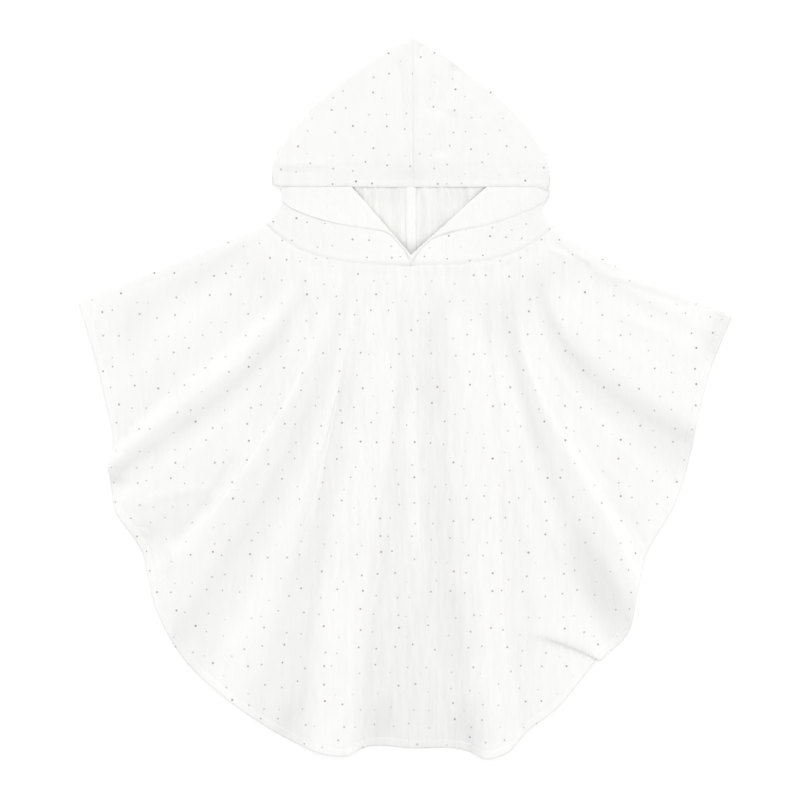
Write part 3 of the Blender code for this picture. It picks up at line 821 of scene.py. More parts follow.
def front_sheet():
    """The front panel: its grid, its flat cloth coordinates, which are its places in plan, and the fields its
    cloth reads."""
    plan, knots, places, shares = panel_plan(FRONT_ROWS, FRONT_COLUMNS, NECK_TUCK)
    height = eased_through(knots, fold_heights(shares), places)
    x, y = np.moveaxis(plan, 2, 0)
    from_neck = run_lengths(plan)
    edge = from_neck[:, -1:] - from_neck
    neck = from_neck - NECK_TUCK

    height += BILLOW * cloth_noise(x, y, BILLOW_SIZE, 3) * ease(neck / BILLOW_START)
    height += creased(x, y, FRONT_CREASES)
    cuff = ease((x - CUFF_PRESS_FROM[0]) / CUFF_PRESS_RAMP) * ease((y - CUFF_PRESS_FROM[1]) / CUFF_PRESS_RAMP)
    cuff *= ease(1 - edge / CUFF_PRESS_REACH)
    height -= CUFF_PRESS * cuff
    height += BODY_CRINKLE_HEIGHT * crinkle(x, y, BODY_CRINKLE, 11) * ease((height - FREE_Z) / FREE_RISE)
    gathers = ease(neck / GATHER_START) * bell(neck, GATHER_REACH)
    height += GATHER * gathers * cloth_noise(x, y, GATHER_SIZE, 23)
    height -= NECK_DIP * bell(neck - NECK_DIP_AT, NECK_DIP_WIDTH)
    height = np.maximum(height, FRONT_LOWEST_Z) + hem_relief(edge, places[:, None], 31)
    lapped_plan, height = lapped(plan, height)
    height = np.maximum(height, FRONT_LOWEST_Z) - NECK_TUCK_DROP * ease(1 - neck / NECK_SEAM_END)

    # Painted shade: the colour darkens where the front lies low between the folds, on the pressed cuff and at the
    # listed spots, for the shade that falls there.
    round_hem = np.linspace(0, 1, FRONT_COLUMNS + 1)[:, None]
    inside = ease(round_hem / PAINTED_SHADE_SHOULDER) * ease((1 - round_hem) / PAINTED_SHADE_SHOULDER)
    inside = inside * ease(neck / PAINTED_SHADE_START)
    painted_shade = np.maximum(inside * ease((PAINTED_SHADE_TOP - height) / PAINTED_SHADE_DEPTH), CUFF_PAINTED_SHADE * ease(2 * cuff))
    least, more = FRONT_STREAKS
    fields = {
        "painted_shade": painted_shade + shaded(x, y),
        "streaks": least + more * bell(x - FRONT_STREAKS_X, FRONT_STREAKS_WIDTH),
    }
    return np.concatenate([lapped_plan, height[..., None]], -1), plan, fields


def back_sheet():
    """The back panel: the front's outline drawn in a little, flat on the surface, with low wrinkles that only
    rise from it; and its flat cloth coordinates."""
    plan = panel_plan(BACK_ROWS, BACK_COLUMNS, 0)[0]
    length = np.linalg.norm(plan[:, -1] - plan[:, 0], axis=1)
    share = np.linspace(0, 1, plan.shape[1])
    keep = 1 - (BACK_INSET / length)[:, None, None] * ease(share)[None, :, None]
    plan = plan[:, :1] + (plan - plan[:, :1]) * keep
    from_neck = run_lengths(plan)
    edge = from_neck[:, -1:] - from_neck
    x, y = np.moveaxis(plan, 2, 0)
    wrinkles = crinkle(x, y, BODY_CRINKLE, 41) + WRINKLE_SHARE * cloth_noise(x, y, WRINKLE_SIZE, 43)
    height = WALL / 2 + WRINKLE * np.maximum(wrinkles, 0) * ease(edge / WRINKLE_FADE)
    return np.concatenate([plan, height[..., None]], -1), plan


def crown_outline(turn):
    """The crown's outline from its widest point (0) to the tip (1), as distance out and Y: one Bezier arc."""
    out = (CROWN_HALF, CROWN_SIDE_SWELL * CROWN_HALF, CROWN_TIP_SWELL * CROWN_HALF, 0)
    up = (CROWN_WIDEST_Y, CROWN_WIDEST_Y + CROWN_SIDE_ARM, APEX_Y - CROWN_TIP_ARM, APEX_Y)
    return bezier(turn, out), bezier(turn, up)


def above_forehead(level):
    """How far above the forehead edge a level of the crown lies."""
    return (level - 1) * (APEX_Y - FOREHEAD_Y)


def hood_rows(hood):
    """The rows of a hood half, as their levels (0 neckline, 1 forehead, 2 tip) and their half widths."""
    below = np.linspace(0, 1, LOWER_STEPS + 1)
    from_waist = below - hood.waist_level
    spread = np.where(from_waist < 0, hood.spread_down, hood.spread_up)
    waist = hood.waist_depth * MM * bell(from_waist, spread)
    side = NECK_HALF + (CROWN_HALF - NECK_HALF) * below - waist
    half, y = crown_outline(np.linspace(0, LAST_TURN, UPPER_STEPS + 1))
    above = 1 + (y - FOREHEAD_Y) / (APEX_Y - FOREHEAD_Y)
    first = FOREHEAD_FIRST_ROW / above_forehead(above[0])
    between = np.append(first, np.arange(1, BETWEEN_STEPS) / BETWEEN_STEPS)
    level = np.concatenate([below, 1 + (above[0] - 1) * between, above])
    return level, np.concatenate([side, side[-1] + (half[0] - side[-1]) * between, half])


def hood_row_y(level, out):
    """Y of a row at distances out: it passes from the neckline's curve to the forehead edge to level lines.
    The forehead edge droops in its last few millimetres at each side."""
    droop = FOREHEAD_DROOP * ease((out / CROWN_HALF - DROOP_START) / (1 - DROOP_START))
    if level <= 1:
        return neckline_y(CENTRE_X + out) * (1 - level) + (FOREHEAD_Y - droop) * level
    rise = above_forehead(level)
    return FOREHEAD_Y + rise - droop * (1 - ease(rise / TUCK_HEIGHT))


def crown_heights(level):
    """The height of the crown layer at the centre line and at the side fold, sinking towards the tip."""
    sink = max(level - 1, 0) ** CROWN_SINK_POWER
    middle = FOREHEAD_Z + (CROWN_TIP_Z - FOREHEAD_Z) * sink
    side = FOLD_TOP_Z + (TIP_SIDE_Z - FOLD_TOP_Z) * sink
    return middle, side


def crown_sag(level):
    """How far the crown layer hangs down at the centre line: most at the forehead, none at SAG_HEIGHT."""
    return FOREHEAD_SAG * ease(1 - above_forehead(level) / SAG_HEIGHT)


def face_reach(hood, level):
    """How far out the roll beside the face opening lies at a level up to the forehead, and on in a line."""
    return hood.roll_reach * MM * (level - FACE_POINT_LEVEL)


def lapel_edge(hood, level, outer, step):
    """How far out the lapel's free edge lies at a level, along its table and then on to the side fold, and
    how far it is above the layer below: its own lift there, passing to a full step at the side fold."""
    rows = np.array(LAPEL_EDGE)
    table_level, table_out, table_lift = rows[:, 0], *rows[:, 1 + (hood.side > 0) :: 2].T * MM
    edge = np.interp(level, table_level, table_out)
    to_fold = np.clip((level - table_level[-1]) / (1 - table_level[-1]), 0, 1)
    rest = LAPEL_REST + np.interp(level, table_level, table_lift)
    return min(edge + (outer - edge) * to_fold, outer), rest * (1 - to_fold) + step * to_fold


def hood_section(hood, level, half):
    """The control points of a row, as distance out and height. From the back seam the cloth lies on the
    surface to the side fold, comes back over itself to the roll beside the face opening, folds outward there
    to the side again, and then crosses over the head to the crown seam. Above the forehead the middle two
    layers are a tuck that shrinks to nothing, so the side becomes a single fold."""
    at_forehead = face_reach(hood, 1)
    closing = ease(above_forehead(level) / TUCK_HEIGHT)
    roll = max(-JOIN_LAP, face_reach(hood, min(level, 1))) * (1 - closing) + half * closing
    bend = min(BEND, half / 2)
    bulge = BULGE * bend / BEND
    tuck = ease((half - roll) / (2 * bend))
    middle, side = crown_heights(level)
    step = (side - FLOOR_LAYER_Z) / 3 + (LAYER_STEP - FOREHEAD_STEP) * ease(1 - level / STEP_LEVEL)
    rise = NECK_RISE * tuck * (1 - (1 - FOREHEAD_RISE_SHARE) * ease(level))
    risen = ease((level - LAPEL_RISE_LEVEL) / (1 - LAPEL_RISE_LEVEL))
    lapel_step = LAPEL_LOW_STEP + (step - LAPEL_LOW_STEP) * risen
    outer = half + bulge
    edge, edge_step = lapel_edge(hood, level, outer, lapel_step)
    edge = max(edge, roll + LAPEL_LEAST)
    inner_bend = min(bend * tuck, LAPEL_BEND * (edge - roll))

    def under(out):
        return FLOOR_LAYER_Z + step + rise * (1 - min(out / half, 1) ** 2)

    def over(out):
        dome = (middle - side) * (1 - (out / half) ** 2)
        return side + dome - crown_sag(level) * (1 - min(out / at_forehead, 1) ** 2) ** 2

    back = [(SEAM_GAP / 2, FLOOR_LAYER_Z)]
    back += [(share * (half - bend), FLOOR_LAYER_Z) for share in BACK_SHARES]
    folded = [(outer, FLOOR_LAYER_Z), (outer, under(half))]
    folded += [(out, under(out)) for out in (half - bend * tuck, (half + roll) / 2, roll + bend * tuck)]
    folded += [(roll - bulge * tuck, under(roll)), (roll - bulge * tuck, under(roll) + lapel_step)]
    folded += [(out, under(out) + lapel_step) for out in (roll + inner_bend, (edge + roll) / 2)]
    folded += [(edge - inner_bend, under(edge) + (lapel_step + edge_step) / 2)]
    folded += [(edge, under(edge) + edge_step), (outer, side)]
    turn = np.linspace(-np.pi / 2, np.pi / 2, len(folded))
    single_out = outer - bend / 2 * (1 - np.cos(turn))
    single_z = (FLOOR_LAYER_Z + side) / 2 + 1.5 * step * np.sin(turn)
    folded = tuck * np.array(folded) + (1 - tuck) * np.stack([single_out, single_z], -1)
    if level < 1:
        return np.concatenate([back, folded[:-1]])
    across = [(share * (half - bend), over(share * (half - bend))) for share in CROWN_SHARES]
    return np.concatenate([back, folded, across, [(SEAM_GAP / 2, over(0))]])


def spline(points, places):
    """A uniform cubic B-spline that starts and ends at its first and last control points."""
    points = np.concatenate([[2 * points[0] - points[1]], points, [2 * points[-1] - points[-2]]])
    stretch = np.clip(np.floor(places).astype(int), 0, len(points) - 4)
    s = (places - stretch)[:, None]
    weights = ((1 - s) ** 3, 3 * s**3 - 6 * s**2 + 4, -3 * s**3 + 3 * s**2 + 3 * s + 1, s**3)
    return sum(weight * points[stretch + i] for i, weight in enumerate(weights)) / 6


def stretch_places(stretches):
    """Places along the control points: each stretch has its own number of even steps."""
    runs = [np.linspace(start, end, steps, endpoint=False) for start, end, steps in stretches]
    return np.append(np.concatenate(runs), stretches[-1][1])


def crown_relief(hood, x, y, out, from_forehead):
    """What rises or sinks on the crown: the crest along its seam, the hem that rests on what lies under it,
    with its stitched groove, the creases and the crinkle, and on the right half the band that laps over."""
    relief = CROWN_CREST * bell(out, CROWN_CREST_WIDTH) * ease(from_forehead / CROWN_CREST_START)
    relief -= FOREHEAD_REST * ease(1 - from_forehead / FOREHEAD_REST_WIDTH)
    relief -= STITCH_GROOVE * bell(from_forehead - FOREHEAD_HEM, FOREHEAD_GROOVE_WIDTH)
    relief += creased(x, y, CROWN_CREASES) + CROWN_CRINKLE_HEIGHT * crinkle(x, y, BODY_CRINKLE, 51)
    if hood.side > 0:
        relief += CROWN_BAND_RISE * ease((CROWN_BAND - out) / CROWN_BAND_STEP) * ease(out / CROWN_SEAM_REACH)
        relief += CROWN_LAP_LIFT
    return relief


def inner_top(from_forehead):
    """How much more the back layer rises just under the forehead edge: a smooth step in height."""
    return INNER_TOP_RISE * ease(1 + from_forehead / INNER_TOP_HEIGHT)


def inner_relief(x, y, out, roll, from_forehead):
    """What rises on the back layer where the face opening shows it: fine crinkle and creases, and more at the
    top beside the rolled edges. It fades to nothing at those edges, above the forehead and under the tape."""
    relief = INNER_RISE + INNER_CRINKLE_HEIGHT * crinkle(x, y, INNER_CRINKLE, 61)
    relief += creased(x, y, INNER_CREASES)
    to_side = INNER_TOP_SHARE + (1 - INNER_TOP_SHARE) * ease(out / np.maximum(roll, MM))
    fade = ease((roll - out) / INNER_SIDE_FADE) * ease(1 - from_forehead / INNER_FADE)
    fade *= ease((out - INNER_TAPE_SHARE * BINDING_WIDTH) / INNER_TAPE_FADE)
    return fade * np.maximum(relief + inner_top(from_forehead) * to_side, 0)


def point_painted_shade(y):
    """How much painted shade the back layer gets at the face opening's point, where it lies in shade: a smooth
    step up to a height.
    """
    neck = neckline_y(CENTRE_X)
    point = neck + (FOREHEAD_Y - neck) * FACE_POINT_LEVEL
    return POINT_PAINTED_SHADE * ease(1 - (y - point) / POINT_PAINTED_SHADE_HEIGHT)


def hood_sheet(hood):
    """A hood half: its grid; its flat cloth coordinates, which are the distance out plus the height and Y;
    its wall, which thins towards the lapel's free edge, the seams and the forehead edge, where the cloth is
    pressed, and thickens in the rolled edge at the forehead; and the fields its cloth reads."""
    place = stretch_places(LOWER_STRETCHES + CROWN_STRETCHES)
    levels, halves = hood_rows(hood)
    level = levels[:, None]
    last_place = np.where(level < 1, LAPEL_END, place[-1])
    rows = zip(levels, halves, np.minimum(place, last_place))
    sections = [spline(hood_section(hood, *row), row_places) for *row, row_places in rows]
    out, z = np.moveaxis(np.array(sections), 2, 0)
    y = np.array([hood_row_y(*row) for row in zip(levels, out)])
    x = CENTRE_X + hood.side * out
    flat = np.stack([hood.side * (out + z), y], -1)

    on_back = 1 - ease(place - BACK_END)
    on_crown = ease(place - LAPEL_END)
    off_floor = ease((place - OFF_FLOOR[0]) / (OFF_FLOOR[1] - OFF_FLOOR[0]))
    from_neck = y - neckline_y(x)
    from_forehead = y - FOREHEAD_Y
    roll = face_reach(hood, level)
    at_seam = ease(1 - out / CROWN_SEAM_REACH)
    x -= hood.side * CROWN_LAP * on_crown * at_seam
    x += CROWN_SEAM_SHIFT * on_crown * ease(1 - out / CROWN_SEAM_SHIFT_WIDTH)

    bead = FOREHEAD_BEAD_WALL * on_crown * ease((FOREHEAD_BEAD - from_forehead) / FOREHEAD_BEAD_STEP)
    z += bead / 2 + on_crown * crown_relief(hood, x, y, out, from_forehead)
    z += on_back * inner_relief(x, y, out, roll, from_forehead)
    z += COLLAR_CRINKLE_HEIGHT * (1 - on_back) * (1 - on_crown) * crinkle(x, y, BODY_CRINKLE, 71)
    z += NECK_BAND_RISE * off_floor * bell(from_neck - NECK_BAND_AT, NECK_BAND_WIDTH)
    z -= NECK_PRESS * off_floor * (1 - on_crown) * ease(1 - from_neck / NECK_PRESS_REACH)
    grid = np.stack([x, y, z], -1)
    grid[np.broadcast_to(place, out.shape) > last_place] = np.nan

    lapel_thin = ease((place - LAPEL_THINS) / (LAPEL_END - LAPEL_THINS)) * (level < 1)
    neck_thin = off_floor * ease(1 - from_neck / NECK_THIN_REACH)
    crown_thin = np.maximum(at_seam, FOREHEAD_THIN * ease(1 - from_forehead / FOREHEAD_THIN_REACH))
    thin = np.maximum(lapel_thin, neck_thin) * (1 - on_crown) + on_crown * crown_thin
    wall = WALL * (1 - (1 - THIN_SHARE) * thin) + bead * (1 - thin)

    # Painted shade: the colour darkens over the crown, on the collar's sides, inside the face opening along the rolled
    # edges and at its point; inside the opening the crinkle also gets more painted shade along its low lines.
    inside = on_back * (roll > out) * (level < INSIDE_TOP_LEVEL)
    side_painted_shade = ease(1 - (roll - out) / INNER_PAINTED_SHADE_WIDTHS[hood.side])
    on_collar = off_floor * ease(LAPEL_START - place) * ease(out / COLLAR_PAINTED_SHADE_OUT)
    painted_shade = HOOD_PAINTED_SHADE * on_crown * (1 - inside) + INNER_PAINTED_SHADE * inside * side_painted_shade
    painted_shade += COLLAR_PAINTED_SHADE * on_collar + point_painted_shade(y) * on_back
    streaks = HOOD_STREAKS + INNER_STREAKS * inside * ease((roll - out) / INNER_SIDE_FADE)
    return grid, flat, wall, {"painted_shade": painted_shade, "streaks": streaks}


def binding_sheet():
    """The tape along the inside of the centre seam: up the back layer, round under the tip and back under
    the crown to the forehead edge. Its two edges stand a little lower than its middle. With its grid come its
    flat cloth coordinates and the fields its cloth reads."""
    steps_up, steps_round, steps_down = BINDING_STEPS
    turn_y = APEX_Y - BINDING_TURN
    up = np.linspace(neckline_y(CENTRE_X) + BINDING_START, turn_y, steps_up)
    down = np.linspace(turn_y, FOREHEAD_Y + BINDING_END, steps_down)
    level = 1 + (down - FOREHEAD_Y) / (APEX_Y - FOREHEAD_Y)
    crown = np.array([crown_heights(value)[0] - crown_sag(value) for value in level]) - BINDING_UNDER_CROWN
    radius = (crown[0] - BINDING_Z) / 2
    angles = np.linspace(-np.pi / 2, np.pi / 2, steps_round + 2)[1:-1]
    y = np.concatenate([up, turn_y + radius * np.cos(angles), down])[:, None]
    turn_z = BINDING_Z + radius * (1 + np.sin(angles))
    z = np.concatenate([np.full(steps_up, BINDING_Z), turn_z, crown])[:, None]
    across = np.linspace(-1, 1, BINDING_COLUMNS)
    sway = BINDING_SWAY * lattice_noise(y / BINDING_SWAY_SIZE, y * 0, 81)
    x = CENTRE_X + sway + across * BINDING_WIDTH / 2
    on_back = z < BINDING_Z + radius
    from_forehead = y - FOREHEAD_Y
    rise = INNER_TOP_SHARE * inner_top(from_forehead) * ease(1 - from_forehead / BINDING_FADE)
    z = z + on_back * (rise - BINDING_EDGE_DROP * ease(np.abs(across) * 2 - 1))
    y = y + 0 * x
    # The tape gets the same painted shade at the face opening's point.
    return np.stack([x, y, z], -1), np.stack([x, y], -1), {"painted_shade": point_painted_shade(y) * on_back}


def vertex_normals(points, quads):
    """Unit normals: each quad's crossed diagonals, added up at its corners."""
    a, b, c, d = (points[quads[:, i]] for i in range(4))
    facing = np.cross(c - a, d - b)
    total = np.zeros_like(points)
    for corner in range(4):
        np.add.at(total, quads[:, corner], facing)
    return unit(total)


def open_edges(quads):
    """The directed edges that only one quad uses."""
    edges = np.concatenate([quads[:, [i, (i + 1) % 4]] for i in range(4)])
    _, first, uses = np.unique(np.sort(edges, axis=1), axis=0, return_index=True, return_counts=True)
    return edges[first[uses == 1]]


def placed(name, data):
    """A new object of the scene, at its origin."""
    made = bpy.data.objects.new(name, data)
    bpy.context.scene.collection.objects.link(made)
    return made


def mesh_piece(name, vertices, faces, flat, slots, materials):
    """Puts whole arrays into a mesh, with the flat cloth coordinates as its UV map."""
    mesh = bpy.data.meshes.new(name)
    mesh.from_pydata(vertices.tolist(), [], faces.tolist())
    corners = np.zeros(len(mesh.loops), int)
    mesh.loops.foreach_get("vertex_index", corners)
    cloth_map = mesh.uv_layers.new(name="flat_cloth")
    cloth_map.uv.foreach_set("vector", flat[corners].astype(np.float32).ravel())
    for material in materials:
        mesh.materials.append(material)
    mesh.polygons.foreach_set("material_index", slots)
    mesh.polygons.foreach_set("use_smooth", np.ones(len(faces), bool))
    mesh.update()
    return placed(name, mesh)


def shell(name, grid, flat, wall, turned, materials, **fields):
    """Gives a grid its wall: the outer face half the wall along the normal, the inner face half the wall
    against it, and a rounded edge between them. Empty points are left out. turned says that the outer face is
    on the far side of the grid's own normal. The materials are the outer face's and the inner one's. The
    fields are numbers that vary over the grid and that the materials read."""
    present = ~np.isnan(grid[..., 0])
    number = np.where(present, np.cumsum(present).reshape(present.shape) - 1, -1)
    quads = np.stack([number[:-1, :-1], number[1:, :-1], number[1:, 1:], number[:-1, 1:]], -1).reshape(-1, 4)
    quads = quads[(quads >= 0).all(axis=1)]
    if turned:
        quads = quads[:, ::-1]
    points = grid[present]
    half_wall = np.broadcast_to(wall, present.shape)[present][:, None] / 2
    normals = vertex_normals(points, quads)
    rim = open_edges(quads)
    run = points[rim[:, 1]] - points[rim[:, 0]]
    outward = np.zeros_like(points)
    for end in range(2):
        np.add.at(outward, rim[:, end], np.cross(run, normals[rim[:, end]]))
    on_rim = np.unique(rim)
    rim_number = np.full(len(points), -1)
    rim_number[on_rim] = 2 * len(points) + np.arange(len(on_rim))
    rounded = points[on_rim] + unit(outward[on_rim]) * half_wall[on_rim]
    vertices = np.concatenate([points + normals * half_wall, points - normals * half_wall, rounded])
    a, b = rim[:, 0], rim[:, 1]
    below = len(points)
    to_rounded = np.stack([b, a, rim_number[a], rim_number[b]], -1)
    from_rounded = np.stack([rim_number[b], rim_number[a], a + below, b + below], -1)
    faces = np.concatenate([quads, quads[:, ::-1] + below, to_rounded, from_rounded])
    slots = np.zeros(len(faces), int)
    slots[len(quads) : 2 * len(quads)] = 1

    def on_vertices(values):
        return np.concatenate([values, values, values[on_rim]])

    piece = mesh_piece(name, vertices, faces, on_vertices(flat[present]), slots, materials)
    for field, values in fields.items():
        values = on_vertices(np.broadcast_to(values, present.shape)[present]).astype(np.float32)
        piece.data.attributes.new(field, "FLOAT", "POINT").data.foreach_set("value", values)
    return piece


def outer_face(grid, wall, turned):
    """The points of a grid's outer face and its unit normals, by the cross product of its two directions."""
    normals = unit(np.cross(np.gradient(grid, axis=0), np.gradient(grid, axis=1)))
    normals = -normals if turned else normals
    return grid + normals * np.broadcast_to(wall, grid.shape[:2])[..., None] / 2, normals


def crossing(face, normals, measure):
    """The line across a face where a measure that rises along each of the face's lines passes nothing, and
    the normals there."""
    line = np.arange(len(face))
    after = (~(measure >= 0)).sum(axis=1)
    share = (measure[line, after] / (measure[line, after] - measure[line, after - 1]))[:, None]
    return face[line, after] * (1 - share) + face[line, after - 1] * share, normals[line, after]


def hem_line(grid):
    """A line on the outer face of the front panel along the top of its hem, and the normals there."""
    edge = run_lengths(grid[:, ::-1])[:, ::-1]
    return crossing(*outer_face(grid, WALL, True), HEM_WIDTH - edge)


def forehead_line(grid, wall, turned):
    """A line on the outer face of the crown along the top of its forehead hem, and the normals there."""
    crown = np.isnan(grid[0, :, 0])
    above = grid[..., 1] - FOREHEAD_Y - FOREHEAD_HEM
    return crossing(*(values[:, crown].swapaxes(0, 1) for values in (*outer_face(grid, wall, turned), above)))


def stitches(name, line, normals, material):
    """A row of stitches along a line on the cloth: capsules of thread, one every pitch, half sunk into it."""
    distance = run_lengths(line)
    centres = np.arange(STITCH_PITCH, distance[-1] - STITCH_PITCH, STITCH_PITCH)
    at, ahead, up = (
        np.stack([np.interp(places, distance, column) for column in values.T], -1)
        for places, values in ((centres, line), (centres + MM, line), (centres, normals))
    )
    along = unit(ahead - at)
    across = unit(np.cross(along, up))
    up = np.cross(across, along)
    share, girth, rise = np.array(STITCH).T[:, :, None]
    angle = np.arange(STITCH_SIDES) * 2 * np.pi / STITCH_SIDES
    reaches = (
        (along, share * STITCH_LENGTH + 0 * angle),
        (up, THREAD_RADIUS * (rise + girth * np.sin(angle))),
        (across, THREAD_RADIUS * girth * np.cos(angle)),
    )
    rings = at[:, None, None] + sum(way[:, None, None] * reach[..., None] for way, reach in reaches)
    vertices = rings.reshape(-1, 3)

    own = np.arange(len(centres))[:, None, None] * len(STITCH) * STITCH_SIDES
    i = own + np.arange(len(STITCH) - 1)[:, None] * STITCH_SIDES + np.arange(STITCH_SIDES)
    j = np.roll(i, -1, axis=2)
    sides = np.stack([i, j, j + STITCH_SIDES, i + STITCH_SIDES], -1)
    faces = np.concatenate([sides.reshape(-1, 4), (own + np.array(STITCH_ENDS)).reshape(-1, 4)])
    return mesh_piece(name, vertices, faces, vertices[:, :2], np.zeros(len(faces), int), [material])


def feed(tree, socket, source):
    """Gives a socket its value, or links another node's output to it."""
    if isinstance(source, bpy.types.NodeSocket):
        tree.links.new(source, socket)
    else:
        socket.default_value = source


def node(tree, kind, *sources, **settings):
    """Adds a node. Each setting fills its field of that name or feeds its socket of that name, and the
    sources feed its first sockets."""
    made = tree.nodes.new(kind)
    for key, value in settings.items():
        if hasattr(made, key):
            setattr(made, key, value)
        else:
            feed(tree, made.inputs[key.replace("_", " ")], value)
    for socket, source in zip(made.inputs, sources):
        feed(tree, socket, source)
    return made


def maths(tree, operation, *terms):
    """The result of one step of arithmetic."""
    return node(tree, "ShaderNodeMath", *terms, operation=operation).outputs[0]


def spread(tree, value, old=(0, 1), new=(0, 1)):
    """A value whose old range is spread over a new one."""
    ranges = {"From_Min": old[0], "From_Max": old[1], "To_Min": new[0], "To_Max": new[1]}
    return node(tree, "ShaderNodeMapRange", value, **ranges).outputs[0]


def noise(tree, cloth, scale, detail=2.0, drawn=1.0):
    """Noise on the cloth, drawn out along it where drawn is below 1."""
    cloth = node(tree, "ShaderNodeMapping", cloth, Scale=(1.0, drawn, 1.0)).outputs[0]
    return node(tree, "ShaderNodeTexNoise", cloth, Scale=scale, Detail=detail).outputs["Fac"]


def bands(tree, cloth, scale, direction):
    """Even bands on the cloth, as its threads make them."""
    return node(tree, "ShaderNodeTexWave", cloth, Scale=scale, bands_direction=direction).outputs["Fac"]


def mixed(tree, amount, first, second):
    """A colour that passes from the first to the second by the amount."""
    colours = {"Factor": amount, "A": first, "B": second}
    return node(tree, "ShaderNodeMix", data_type="RGBA", **colours).outputs["Result"]


def bumped(tree, height, strength, distance, **under):
    """Normals bent by a height, over those under it."""
    bump = node(tree, "ShaderNodeBump", Height=height, Strength=strength, Distance=distance, **under)
    return bump.outputs[0]


def toned(tree, colour, shade):
    """A colour times a tone, and darker where the field of painted shade says."""
    painted_shade = node(tree, "ShaderNodeAttribute", attribute_name="painted_shade").outputs["Fac"]
    light = maths(tree, "MULTIPLY_ADD", painted_shade, PAINTED_SHADE_TONE - 1, 1)
    shade = maths(tree, "MULTIPLY", shade, light)
    return node(tree, "ShaderNodeVectorMath", colour, operation="SCALE", Scale=shade).outputs[0]


def cotton(name, specular, sheen):
    """A new matt cotton: the material, its nodes, its shader, and the flat cloth map in metres."""
    material = bpy.data.materials.new(name)
    material.use_nodes = True
    tree = material.node_tree
    shader = tree.nodes["Principled BSDF"]
    shader.inputs["Specular IOR Level"].default_value = specular
    shader.inputs["Sheen Weight"].default_value = sheen
    return material, tree, shader, node(tree, "ShaderNodeUVMap", uv_map="flat_cloth").outputs["UV"]


def muslin(name, colour, printed):
    """Crinkled double gauze: a matt, faintly fuzzy cotton whose colour varies a little from place to place, and is
    darkened by painted shade along the crinkle's low lines and where the cloth's painted shade field says. Its
    crinkle and its open plain weave are bump, and the printed side has small scattered dots in grey and gold. The
    field streaks says how strong the fine crinkle is, in its bump and in its painted shade."""
    material, tree, shader, cloth = cotton(name, specular=0.25, sheen=0.12)
    shader.inputs["Sheen Roughness"].default_value = 0.6
    shader.inputs["Subsurface Weight"].default_value = 0.35
    shader.inputs["Subsurface Radius"].default_value = (1, 1, 1)
    shader.inputs["Subsurface Scale"].default_value = 0.6 * MM

    streaks = noise(tree, cloth, STREAK_SCALE, drawn=STREAK_DRAWN)
    fine = noise(tree, cloth, FINE_SCALE, detail=1.0, drawn=FINE_DRAWN)
    strong = node(tree, "ShaderNodeAttribute", attribute_name="streaks").outputs["Fac"]
    # Painted shade: the colour is taken down along the crinkle's low lines, as far as the field streaks says.
    streak_shade = maths(tree, "MULTIPLY", spread(tree, streaks, STREAK_RANGE, STREAK_PAINTED_SHADE), strong)
    patches = spread(tree, noise(tree, cloth, PATCH_SCALE), NOISE_RANGE, PATCH_TONE)
    base = toned(tree, colour, maths(tree, "MULTIPLY", maths(tree, "SUBTRACT", 1, streak_shade), patches))
    feed(tree, shader.inputs["Base Color"], dotted(tree, cloth, base) if printed else base)
    feed(tree, shader.inputs["Roughness"], spread(tree, fine, NOISE_RANGE, MUSLIN_ROUGHNESS))

    warp, weft = (bands(tree, cloth, WEAVE_SCALE, direction) for direction in "XY")
    normal = bumped(tree, maths(tree, "MULTIPLY", warp, weft), WEAVE_STRENGTH, WEAVE_DEPTH)
    normal = bumped(tree, fine, FINE_STRENGTH, FINE_DEPTH, Normal=normal)
    feed(tree, shader.inputs["Normal"], bumped(tree, streaks, strong, STREAK_DEPTH, Normal=normal))
    return material


def dotted(tree, cloth, ground):
    """Small dots scattered about one to each cell of a jittered net. A cell's own random colour makes its dot
    larger or smaller, darker or fainter, and grey or gold."""
    net = {"voronoi_dimensions": "2D", "Scale": DOT_SCALE, "Randomness": DOT_JITTER}
    cells = node(tree, "ShaderNodeTexVoronoi", cloth, **net).outputs
    chances = node(tree, "ShaderNodeSeparateColor", cells["Color"]).outputs
    radius = spread(tree, chances["Red"], new=DOT_RADIUS)
    cover = spread(tree, maths(tree, "SUBTRACT", radius, cells["Distance"]), DOT_EDGE)
    strength = spread(tree, chances["Green"], new=DOT_STRENGTH)
    ink = mixed(tree, chances["Blue"], GREY_INK, GOLD_INK)
    return mixed(tree, maths(tree, "MULTIPLY", cover, strength), ground, ink)


def woven_tape(name, colour):
    """Smooth cotton tape: a close twill in bump and a faint variation of its colour along it."""
    material, tree, shader, cloth = cotton(name, specular=0.3, sheen=0.1)
    twill = bands(tree, cloth, TWILL_SCALE, "DIAGONAL")
    patches = spread(tree, noise(tree, cloth, TAPE_PATCH_SCALE), NOISE_RANGE, TAPE_PATCH_TONE)
    feed(tree, shader.inputs["Base Color"], toned(tree, colour, patches))
    feed(tree, shader.inputs["Roughness"], spread(tree, twill, new=TAPE_ROUGHNESS))
    feed(tree, shader.inputs["Normal"], bumped(tree, twill, TWILL_STRENGTH, TWILL_DEPTH))
    return material


